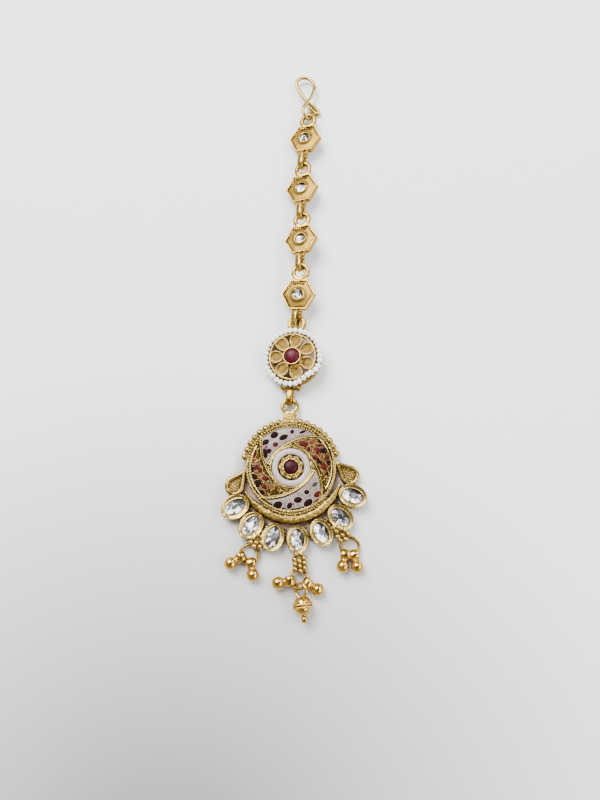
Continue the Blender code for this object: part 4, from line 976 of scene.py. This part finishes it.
def finish_crescent():
    """The crescent: a rough bar between two circles, thin at its tips."""
    inner_y = CRESCENT_INNER_RADIUS - (MEDALLION_RADIUS - SOLDER)
    places = []
    steps = 72
    outer_end = math.degrees(math.asin((CRESCENT_TIP - CRESCENT_DROP) / CRESCENT_RADIUS))
    for step in range(steps + 1):
        way = 180 + outer_end + (180 - 2 * outer_end) * step / steps
        outer = polar(way, CRESCENT_RADIUS, (0, -CRESCENT_DROP))
        direction = (outer - Vector((0, -CRESCENT_DROP))).normalized()
        # how far in from the outer circle the inner circle lies
        base = outer - Vector((0, inner_y))
        along = base.dot(direction)
        width = along - math.sqrt(max(along**2 - base.length_squared + CRESCENT_INNER_RADIUS**2, 0.0))
        inset = 0.3 * max(0.0, width - CRESCENT_MOST)
        width = min(max(width, 0.5), CRESCENT_MOST)
        middle = outer - direction * (width / 2 + inset)
        rows = [(direction.x * width, 0, -direction.y, middle.x), (direction.y * width, 0, direction.x, middle.y)]
        places.append(Matrix((*rows, (0, 2.4, 0, 1.2), (0, 0, 0, 1))))
    section = [
        (-0.5, -0.5), (-0.52, -0.2), (-0.51, 0.2), (-0.46, 0.4), (-0.32, 0.48), (-0.1, 0.5), (0.08, 0.49),
        (0.28, 0.45), (0.42, 0.35), (0.49, 0.14), (0.51, -0.2), (0.5, -0.5), (0.25, -0.5), (0.0, -0.5), (-0.25, -0.5),
    ]
    bar = swept(section, places)
    bmesh.ops.subdivide_edges(bar, edges=bar.edges, cuts=1, use_grid_fill=True)
    bar = hammered(hammered(bar, 0.10, 0.8, 3), 0.15, 0.27, 4)
    finish_frame("crescent_bar", bar, PENDANT, 60, [ROUGH_GOLD])


def oval_place(index):
    way = -90 + OVAL_STEP * (index - (OVAL_COUNT - 1) / 2)
    return lay_up(polar(way, OVALS_CIRCLE, (0, -CRESCENT_DROP)), way)


def finish_ovals():
    # a dished rim: crest near its outer edge, a slope, and a thin ridge against the stone
    rows = [
        (3.34, 2.66, 0.0), (3.48, 2.80, 0.1), (3.52, 2.84, 0.9), (3.51, 2.83, 2.25), (3.44, 2.76, 2.60),
        (3.34, 2.66, 2.72), (3.24, 2.54, 2.70), (3.12, 2.38, 2.60), (2.98, 2.14, 2.50), (2.86, 1.94, 2.44),
        (2.80, 1.84, 2.46), (2.74, 1.74, 2.52), (2.66, 1.66, 2.48), (2.60, 1.60, 2.2), (2.58, 1.58, 1.6),
    ]
    for index in range(OVAL_COUNT):
        bezel = hammered(hammered(stacked(rows, 64), 0.06, 1.6, index + 1), 0.025, 0.35, index + 2)
        size = 0.955 + 0.024 * abs(index - 3)
        place = PENDANT @ oval_place(index) @ Matrix.Diagonal((size, size, 1, 1))
        number = index + 1
        finish_frame(f"oval_bezel_{number}", bezel, place, 60, [RIM_GOLD])
        stone = placed(gem(2.49, 1.49, 1.15, 0.46, 8), Matrix.Translation((0, 0, 1.62)))
        cut_stone(f"oval_gem_{number}", stone, f"oval_stone_{number}", place, 40 + number, (-0.6, -0.75))
    rows = []
    reach = OVALS_CIRCLE * math.cos(math.radians(OVAL_STEP) / 2)
    for index in range(OVAL_COUNT - 1):
        way = -90 + OVAL_STEP * (index + 0.5 - (OVAL_COUNT - 1) / 2)
        for turn, back, height, radius in ((0, 0, 0.95, 0.6), (0.8, 1.3, 0.8, 0.42), (-1.2, 2.3, 0.7, 0.36)):
            rows.append((*polar(way + turn, reach - back, (0, -CRESCENT_DROP)), height, radius))
    finish_frame("oval_solder", hammered(balls(rows, 3), 0.12, 0.5, 2), finishes=[ROUGH_GOLD])


def leaf_outline(inset, count=44):
    """A teardrop with its tip at +X."""
    spread = math.acos(LEAF_RADIUS / LEAF_LENGTH)
    ways = [math.degrees(spread + (math.tau - 2 * spread) * step / (count - 1)) for step in range(count)]
    points = [polar(way, LEAF_RADIUS - inset) for way in ways]
    tip = Vector((LEAF_LENGTH - inset * LEAF_LENGTH / LEAF_RADIUS, 0))
    first, last = points[0], points[-1]
    return [*points, last.lerp(tip, 0.5), last.lerp(tip, 0.85), tip, first.lerp(tip, 0.85), first.lerp(tip, 0.5)]


def finish_leaves():
    heights = [
        (0.12, 0.0), (0.0, 0.15), (0.0, 1.9), (0.14, 2.2), (0.42, 2.32), (0.76, 2.26), (0.94, 2.08), (1.0, 1.5),
    ]
    for side, name in ((-1, "left"), (1, "right")):
        draw = random.Random(30 + side)
        tip_angle = 180 - LEAF_ANGLE if side < 0 else LEAF_ANGLE
        tip_way = LEAF_TURN if side < 0 else 180 - LEAF_TURN
        tip = polar(tip_angle, MEDALLION_RADIUS - 2 * SOLDER)
        place = PENDANT @ lay_up(polar(tip_way + 180, LEAF_LENGTH, tip), tip_way)
        loops = [[Vector((*point, height)) for point in leaf_outline(inset)] for inset, height in heights]
        body = hammered(lofted(loops), 0.08, 1.0, side + 3)
        rows = []
        for column in range(-3, 7):
            for line in range(-4, 5):
                x = 0.62 * column + draw.uniform(-0.1, 0.1)
                y = 0.62 * line + 0.31 * (column % 2) + draw.uniform(-0.1, 0.1)
                limit = 1.4 if x < 0.4 else 1.4 - (x - 0.4) * 0.5
                inside = math.hypot(x, y) < 1.45 if x < 0 else abs(y) < limit
                if inside and draw.random() < 0.85:
                    rows.append((x, y, 1.62, draw.uniform(0.19, 0.27)))
        pits = hammered(balls(rows), 0.08, 0.3, 1)
        # the dark floor between the granules: oxide and painted shade in these hollows
        floor = outline_solid([tuple(point) for point in leaf_outline(0.93)], 1.2, 1.55)
        finish_frame(f"leaf_{name}", [(body, 0), (pits, 0), (floor, 1)], place, 60, [GOLD, DARK_GOLD])


def finish_neck():
    """The trumpet-shaped neck with its granular skin, and the eye that the disc's loop holds."""
    turn = PENDANT @ turn_z(-NECK_TURN)
    low = PENDANT_EYE_HEIGHT - EYE_THICKNESS / 2
    foot = MEDALLION_RADIUS - 0.35
    rows = [(0.0, 2.6), (0.5, 2.3), (1.0, 1.9), (1.6, 1.62), (2.2, 1.5), (3.2, 1.5)]
    outline = [(width, foot + along) for along, width in rows]
    outline += [(-width, foot + along) for along, width in rows[::-1]]
    body = rounded(outline_solid(outline, low, low + EYE_THICKNESS), 0.26, 3)
    eye = ring_band(PENDANT_EYE_RADIUS + 0.12, PENDANT_EYE_BAND + 0.3, EYE_THICKNESS, 0.36)
    hammered(placed(eye, Matrix.Translation((0, PENDANT_EYE, PENDANT_EYE_HEIGHT))), 0.1, 1.2, 6)
    draw = random.Random(9)
    rows = []
    for _ in range(70):
        along = foot - 0.5 + 2.9 * draw.random() ** 1.2
        half = 2.5 - 0.9 * min(1.0, max(0.0, along - foot) / 1.6)
        rise = 0.35 * min(1.0, max(0.0, foot + 0.9 - along))
        rows.append((draw.uniform(-half, half), along, low + EYE_THICKNESS - 0.1 + rise, draw.uniform(0.2, 0.36)))
    skin = hammered(balls(rows), 0.08, 0.3, 2)
    finish_frame("neck", [(body, 0), (eye, 1), (skin, 2)], turn, 60, [FLOOR_GOLD, GOLD, ROUGH_GOLD])


def cluster_place(row):
    way = row["turn"] - 90
    middle = polar(way, OVALS_CIRCLE + row["past"] * OVAL_HALF_LENGTH, (0, -CRESCENT_DROP))
    return lay_up(middle, way)


EYELET = Vector((GRANULE_PITCH + 0.85 - EYELET_RADIUS / 2, 0, EYELET_RADIUS))


def finish_clusters():
    half = 1.5 * GRANULE_PITCH
    for name, row in CLUSTERS.items():
        draw = random.Random(len(name))
        rows = []
        for line, count in enumerate(row["rows"]):
            for index in range(count):
                across = (index - (count - 1) / 2) * GRANULE_PITCH
                x = (line - 1) * GRANULE_PITCH + draw.uniform(-0.06, 0.06)
                if count == 3 and index == 1:
                    x += GRANULE_PITCH / 2
                rows.append((x, across * 1.06 + draw.uniform(-0.06, 0.06), CLUSTER_UNDERSIDE + 0.7, 0.69))
        rows += [(-2.0 * GRANULE_PITCH, 0.56 * side, CLUSTER_UNDERSIDE + 0.6, 0.62) for side in (-1, 1)]
        big = hammered(balls(rows, 3), 0.06, 0.6, len(name))
        outline = [(-half - 0.9, -1.0), (half - 0.1, -1.0), (half - 0.1, 1.0), (-half - 0.9, 1.0)]
        plate = rounded(outline_solid(outline, CLUSTER_UNDERSIDE, CLUSTER_UNDERSIDE + 0.5), 0.15)
        eyelet = placed(ring_band(EYELET_RADIUS, 0.46, 0.6, 0.2, 28), Matrix.Translation(EYELET) @ UPRIGHT)
        shapes = [(big, 0), (plate, 0), (eyelet, 0)]
        finish_frame(f"cluster_{name}", shapes, PENDANT @ cluster_place(row), 60, [RIM_GOLD])


# Enamel fields, from the middle of the medallion: x and y, half length, half width and turn of each
# enamel cell. Pointed cells are leaves, the others ovals.

WHITE_SPOTS = table(
    "x y long wide turn tone point",
    (-4.1, 8.0, 0.86, 0.66, 30, "maroon", 0.2),
    (-1.83, 7.43, 0.98, 0.56, 25, "maroon", 0.3),
    (0.27, 8.85, 0.5, 0.42, 70, "maroon", 0.4),
    (2.9, 8.79, 0.82, 0.32, 20, "maroon", 0.6),
    (-6.28, 6.16, 0.86, 0.58, 38, "maroon", 0.3),
    (-3.82, 5.61, 0.62, 0.54, 15, "red", 0.2),
    (-6.6, 3.8, 0.84, 0.66, 60, "maroon", 0.0),
    (-5.55, 3.96, 0.74, 0.56, 20, "maroon", 0.2),
    (-6.35, 3.0, 0.74, 0.6, 75, "maroon", 0.3),
    (-6.25, 4.9, 0.62, 0.44, 40, "pink", 0.2),
    (5.87, -4.12, 0.72, 0.52, 35, "green", 0.8),
    (3.82, -6.07, 0.56, 0.5, 0, "maroon", 0.0),
    (6.53, -6.53, 0.9, 0.62, 30, "red", 0.2),
    (1.77, -7.93, 0.88, 0.64, 10, "maroon", 0.5),
    (4.19, -8.65, 1.0, 0.7, 40, "maroon", 0.1),
    (-3.15, -9.25, 1.0, 0.8, 35, "maroon", 0.2),
    (-0.29, -9.3, 0.74, 0.54, 62, "maroon", 0.2),
    (0.54, -8.9, 0.3, 0.24, 0, "red", 0.0),
)
RED_CELLS = table(
    "x y long wide turn tone point",
    (3.2, 5.75, 0.95, 0.46, -10, "red", 0.5),
    (4.23, 4.3, 0.68, 0.36, 75, "red", 0.5),
    (5.36, 6.2, 0.72, 0.46, 10, "orange", 0.2),
    (7.2, 6.3, 0.66, 0.42, -25, "maroon", 0.4),
    (7.0, 5.4, 0.95, 0.32, -6, "red", 0.4),
    (6.6, 4.2, 0.78, 0.62, 0, "red", 0.1),
    (7.9, 4.0, 0.66, 0.6, 0, "maroon", 0.1),
    (5.98, 2.3, 0.74, 0.46, -30, "red", 0.4),
    (6.9, 1.45, 0.78, 0.42, -50, "maroon", 0.3),
    (8.75, 2.35, 0.5, 0.44, -30, "red", 0.4),
    (9.35, 1.2, 0.6, 0.46, -60, "maroon", 0.2),
    (7.95, 0.3, 0.92, 0.44, -62, "red", 0.5),
    (8.75, -1.62, 0.42, 0.28, 70, "maroon", 0.5),
    (7.75, 2.9, 0.42, 0.26, 80, "orange", 0.3),
    (5.5, 3.6, 0.36, 0.26, 60, "orange", 0.3),
    (-9.3, 3.55, 0.86, 0.6, 70, "red", 0.4),
    (-9.5, -0.25, 0.68, 0.66, 0, "maroon", 0.1),
    (-8.4, 0.1, 0.66, 0.6, 20, "red", 0.1),
    (-7.65, -0.6, 0.62, 0.4, -65, "red", 0.4),
    (-8.95, -2.3, 0.74, 0.44, -20, "maroon", 0.3),
    (-6.14, -2.7, 0.64, 0.44, -22, "red", 0.3),
    (-7.9, -3.95, 0.78, 0.62, 8, "maroon", 0.1),
    (-6.55, -4.6, 0.66, 0.4, -45, "red", 0.4),
    (-7.37, -6.05, 0.78, 0.42, -14, "maroon", 0.4),
    (-9.0, 1.75, 0.4, 0.26, 15, "orange", 0.3),
    (-8.2, 1.2, 0.32, 0.24, 60, "orange", 0.2),
    (-7.6, -2.15, 0.36, 0.26, 50, "orange", 0.2),
    (-5.3, -3.75, 0.34, 0.3, 0, "green", 0.2),
    (-4.6, -4.85, 0.42, 0.3, -30, "orange", 0.3),
)
TONES = ("maroon", "red", "pink", "green", "orange")
FIELD_TOP = MEDALLION_BASE + STONE_GAP + 1.5


def cell_outline(row, height, grow, count=20):
    points = []
    for step in range(count):
        angle = math.tau * step / count
        narrow = 1.0 - row["point"] * max(0.0, math.cos(angle)) ** 2
        across = row["wide"] * grow * math.sin(angle) * narrow
        points.append(Vector((row["long"] * grow * math.cos(angle), across, height)))
    return points


def laid_cell(shape, row):
    return placed(shape, lay_up((row["x"], row["y"]), row["turn"]))


def enamel_cell(row, base, rise, swell):
    """A low dome of enamel in its own outline."""
    levels = ((1.0, -0.2), (1.0, 0.3 * rise), (0.82, 0.75 * rise), (0.5, rise), (0.15, 1.06 * rise))
    return laid_cell(lofted([cell_outline(row, base + height, grow * swell) for grow, height in levels]), row)


def cell_wire(row, base, radius, swell):
    return laid_cell(wire(cell_outline(row, base, swell), radius, closed=True, sides=6), row)


def field_body(number, kind, drop, finish):
    """A copy of a field's solid with its top edge rounded."""
    node = f"enamel_field_{number}"
    bm = bmesh.new()
    bm.from_mesh(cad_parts[node].data)
    bmesh.ops.remove_doubles(bm, verts=bm.verts, dist=1e-6)
    bmesh.ops.dissolve_limit(bm, angle_limit=math.radians(4), verts=bm.verts, edges=bm.edges)
    placed(bm, TO_ROW.inverted())
    for vertex in bm.verts:
        if vertex.co.z > 1.5:
            vertex.co.z -= drop
    rims = [edge for edge in bm.edges if min(vertex.co.z for vertex in edge.verts) > 1.5]
    finish_piece(f"{kind}_field_{number}", bevelled(bm, rims, 0.16, 3), [finish], [node], None, 30)


def in_red_field(x, y, margin=0.35):
    spot = Vector((x, y))
    if spot.length > 9.75:
        return False
    for index in (0, 2):
        own, _ = sweep_centre(index)
        after, _ = sweep_centre(index + 1)
        if (spot - after).length < SWEEP_RADIUS - margin and (spot - own).length > SWEEP_RADIUS + margin:
            return True
    return False


def finish_fields():
    for number in (1, 3):
        field_body(number, "red", 0.12, DARK_GOLD)
        field_body(number + 1, "white", 0.0, WHITE_ENAMEL)
    palette = [MAROON_ENAMEL, RED_ENAMEL, PINK_ENAMEL, GREEN_ENAMEL, ORANGE_ENAMEL]
    cells = [(enamel_cell(row, FIELD_TOP, 0.08, 1.24), TONES.index(row["tone"])) for row in WHITE_SPOTS]
    finish_piece("white_field_spots", cells, palette, [], None, 60)
    rims = [(cell_wire(row, FIELD_TOP, 0.07, 1.32), 0) for row in WHITE_SPOTS]
    finish_piece("white_field_rims", rims, [RING_ENAMEL], [], None, 60)
    cells = [(enamel_cell(row, FIELD_TOP - 0.12, 0.16, 1.78), TONES.index(row["tone"])) for row in RED_CELLS]
    finish_piece("red_field_cells", cells, palette, [], None, 60)
    rims = [(cell_wire(row, FIELD_TOP - 0.03, 0.08, 1.72), 0) for row in RED_CELLS]
    finish_piece("red_field_veins", rims, [GOLD], [], None, 60)
    draw = random.Random(21)
    rows = []
    for _ in range(1300):
        x = draw.uniform(-9.8, 9.8)
        y = draw.uniform(-8.5, 8.5)
        if not in_red_field(x, y):
            continue
        if any(math.hypot(x - cell["x"], y - cell["y"]) < 1.45 * cell["long"] for cell in RED_CELLS):
            continue
        rows.append((x, y, FIELD_TOP - 0.1, draw.uniform(0.1, 0.2)))
    rough = placed(hammered(balls(rows, 1), 0.08, 0.2, 4), PENDANT)
    finish_piece("red_field_grain", rough, [GOLD], [], None, 60)


# Jump rings and drops


def ring_places():
    places = {}
    for name, row in CLUSTERS.items():
        eyelet = PENDANT @ cluster_place(row) @ EYELET
        tilt = math.asin(row["lift"] / (2 * RING_RADIUS))
        turn = turn_z(row["ring_way"]) @ Matrix.Rotation(-tilt, 4, "Y")
        places[name] = Matrix.Translation(eyelet + turn @ Vector((RING_RADIUS, 0, 0))) @ turn
    return places


def finish_drops():
    rings = ring_places()
    for number, (name, place) in enumerate(rings.items(), 1):
        route = circle_points(RING_RADIUS, 0, 48)
        ring = hammered(wire(route, RING_WIRE, closed=True, sides=12), 0.05, 0.9, number)
        finish_piece(f"open_ring_{number}", ring, [LINK_GOLD], [f"jump_ring_{number}"], place)
    length = DROP_LOOP_RADIUS + 0.1 + DROP_BALL_RADIUS
    for number, row in enumerate(DROPS, 1):
        way = CLUSTERS[row["ring"]]["ring_way"]
        on_wire = rings[row["ring"]] @ Vector((*polar(row["loop"] - way, RING_RADIUS), 0))
        height = max(on_wire.z, DROP_LOOP_RADIUS)
        fall = math.asin((height - DROP_BALL_RADIUS) / length)
        turn = turn_z(row["ball"]) @ Matrix.Rotation(fall, 4, "Y")
        place = Matrix.Translation((on_wire.x, on_wire.y, height)) @ turn
        loop = placed(turned([(1.0 + 0.36 * x, 1.12 * y) for x, y in round_section(1.0, 16)], 36, True), UPRIGHT)
        hammered(loop, 0.07, 0.9, number)
        neck = placed(turned([(0, 1.0), (0.82, 1.0), (0.74, 1.3), (0.9, 1.6), (0, 1.75)], 28), ALONG_X)
        ball = smooth_ball((length, 0, DROP_SWELL), DROP_BALL_RADIUS + DROP_SWELL)
        shapes = [(loop, 0), (neck, 0), (hammered(ball, 0.05, 1.2, number), 0)]
        finish_piece(f"drop_{number}", shapes, [BRIGHT_GOLD], [f"ball_drop_{number}"], place, 60)
    finish_bob(rings["middle"])


def finish_bob(ring):
    """The turned bead with two rope bands, its tip ball and its wire bail."""
    half = BOB_LENGTH / 2
    profile = [
        (0, half + 0.45), (0.42, half + 0.4), (0.5, half + 0.1), (0.86, half), (1.46, 0.84 * half),
        (1.84, 0.58 * half), (2.02, 0.30 * half), (2.06, 0.0), (2.04, -0.26 * half), (1.94, -0.5 * half),
        (1.72, -0.74 * half), (1.3, -0.93 * half), (0.8, -1.03 * half), (0, -1.06 * half),
    ]
    shapes = [hammered(placed(turned(profile, 56), ALONG_X), 0.07, 1.3, 2)]
    shapes.append(hammered(smooth_ball((3.02, 0, 0), 0.88, 28, 18), 0.04, 0.7, 3))
    foot = -half + 0.24
    bend = arc(55, 305, BAIL_RADIUS, 0, 28, (-BAIL_LENGTH, 0))
    bail = wire([Vector((foot, 0.29, 0)), *bend, Vector((foot, -0.29, 0))], 0.36)
    shapes.append(hammered(placed(bail, Matrix.Rotation(math.radians(40), 4, "X")), 0.05, 0.8, 5))
    steps = 288
    angles = [math.tau * step / steps for step in range(steps)]
    strands = [1 + 0.09 * math.cos(32 * angle) for angle in angles]
    for along in (-0.42, 0.28):
        route = [Vector((along, 2.12 * math.cos(angle), 2.12 * math.sin(angle))) for angle in angles]
        shapes.append(swept(round_section(0.3, 8), stations_along(route, Vector((1, 0, 0)), True, strands), True))
    on_wire = ring @ Vector((*polar(BOB_WAY - CLUSTERS["middle"]["ring_way"], RING_RADIUS), 0))
    direction = turn_z(BOB_WAY)
    middle = Vector((on_wire.x, on_wire.y, 0)) + direction @ Vector((BAIL_LENGTH + BAIL_RADIUS / 4, 0, 0))
    place = Matrix.Translation((middle.x, middle.y, BOB_HEIGHT)) @ direction
    rows = [(shape, 0) for shape in shapes]
    finish_piece("turned_drop", rows, [BRIGHT_GOLD], ["centre_drop"], place, 60)


def smooth_route(points, steps):
    """Points on a smooth curve through the given ones."""
    ends = [2 * points[0] - points[1], *points, 2 * points[-1] - points[-2]]
    made = []
    for before, first, second, after in zip(ends, ends[1:], ends[2:], ends[3:]):
        for step in range(steps):
            t = step / steps
            curve = 2 * first + (second - before) * t + (2 * before - 5 * first + 4 * second - after) * t**2
            made.append(0.5 * (curve + (3 * first - before - 3 * second + after) * t**3))
    made.append(points[-1])
    return made


def finish_hook(first_eye):
    points = []
    for row in HOOK_ROUTE:
        step = (row["across"] * HOOK_WIDTH, row["along"] * HOOK_LENGTH, row["height"] * EYE_THICKNESS)
        points.append(first_eye + Vector(step))
    bent = hammered(wire(smooth_route(points, 8), HOOK_WIRE, sides=12), 0.04, 1.0, 2)
    finish_piece("bent_hook", bent, [PALE_GOLD], ["hook"], None, 60)


# The piece from its pendant up to its hook

finish_medallion()
finish_fields()
finish_centre()
finish_crescent()
finish_ovals()
finish_leaves()
finish_neck()
finish_clusters()
finish_drops()

pendant_band = PENDANT @ turn_z(-NECK_TURN) @ Vector(
    (0, PENDANT_EYE + PENDANT_EYE_RADIUS - PENDANT_EYE_BAND / 2, PENDANT_EYE_HEIGHT)
)
disc_place = hung_on("disc", FLANGE_RADIUS + DISC_TAB_REACH, PENDANT_EYE_BAND, pendant_band)
finish_disc(disc_place)
next_band = band_of(disc_place, DISC_EYE)
for number in range(4, 0, -1):
    link_place = hung_on(f"link_{number}", HEX_ACROSS_FLATS / 2 + TAB_REACH, EYE_BAND, next_band)
    finish_link(number, link_place)
    next_band = band_of(link_place, LINK_EYE)
finish_hook(link_place @ Vector((0, LINK_EYE, 0)))

# Floor, light and camera

WARM_SHADE = (0.40, 0.31, 0.28, 1)
CAMERA_PLACE = Vector((2.207, -25.393, 172.1))
CAMERA_TILT = 14


def finish_stage():
    bm = bmesh.new()
    bmesh.ops.create_grid(bm, x_segments=8, y_segments=8, size=0.9)
    mesh = bpy.data.meshes.new("floor")
    bm.to_mesh(mesh)
    bm.free()
    floor = in_scene("floor", mesh)
    floor.location = (0, 0, -0.00002)
    paper, tree, shader = new_material("pale_paper", Roughness=0.8, Specular_IOR_Level=0.2)
    where = placed_by(tree)
    # painted shade darkens the paper towards the lower left, and a warm painted shadow lies under the pendant and the
    # disc
    tone = (0.97, 0.975, 0.97, 1)
    shades = (
        (Vector((-0.028, -0.13, 0)), 0.02, 0.12, (0.33, 0.32, 0.315, 1)),
        (TO_ROW @ Vector((-0.5, -3.8, 0)), 0.0105, 0.0148, WARM_SHADE),
        (TO_ROW @ (disc_place.translation + Vector((0.4, 0, 0))), 0.0060, 0.0072, WARM_SHADE),
    )
    for middle, inside, outside, shade in shades:
        far = add_node(tree, "ShaderNodeVectorMath", {0: where, 1: middle}, operation="DISTANCE").outputs["Value"]
        tone = blended(tree, ranged(tree, far, inside, outside), shade, tone)
    tree.links.new(tone, shader.inputs["Base Color"])
    mesh.materials.append(paper)


def softbox(name, place, aim, width, height, power):
    lamp = bpy.data.lights.new(name, "AREA")
    lamp.shape = "RECTANGLE"
    lamp.size = width
    lamp.size_y = height
    lamp.energy = power
    holder = in_scene(name, lamp)
    holder.location = place
    holder.rotation_euler = (Vector(aim) - Vector(place)).to_track_quat("-Z", "Y").to_euler()


finish_stage()
softbox("key", (-0.22, 0.30, 0.50), (0, 0, 0), 0.42, 0.42, 10.5)
softbox("fill", (0.45, -0.18, 0.40), (0.05, 0, 0), 0.5, 0.3, 3.4)
softbox("strip", (0.30, 0.25, 0.30), (0, 0, 0), 0.06, 0.4, 1.6)

world = bpy.data.worlds.new("studio")
world.use_nodes = True
bpy.context.scene.world = world
tree = world.node_tree
sky = tree.nodes["Background"]
sight = add_node(tree, "ShaderNodeTexCoord").outputs["Generated"]
rise = ranged(tree, add_node(tree, "ShaderNodeSeparateXYZ", {"Vector": sight}).outputs["Z"], 0.35, 0.95)
tree.links.new(blended(tree, rise, (1.0, 0.99, 0.97, 1), (0.24, 0.24, 0.25, 1)), sky.inputs["Color"])
sky.inputs["Strength"].default_value = 0.62

lens = bpy.data.cameras.new("camera")
lens.lens = 31.5
lens.sensor_width = 36.0
camera = in_scene("camera", lens)
camera.location = ORIGIN + CAMERA_PLACE * MM
camera.rotation_euler = (math.radians(CAMERA_TILT), 0, 0)
bpy.context.scene.camera = camera
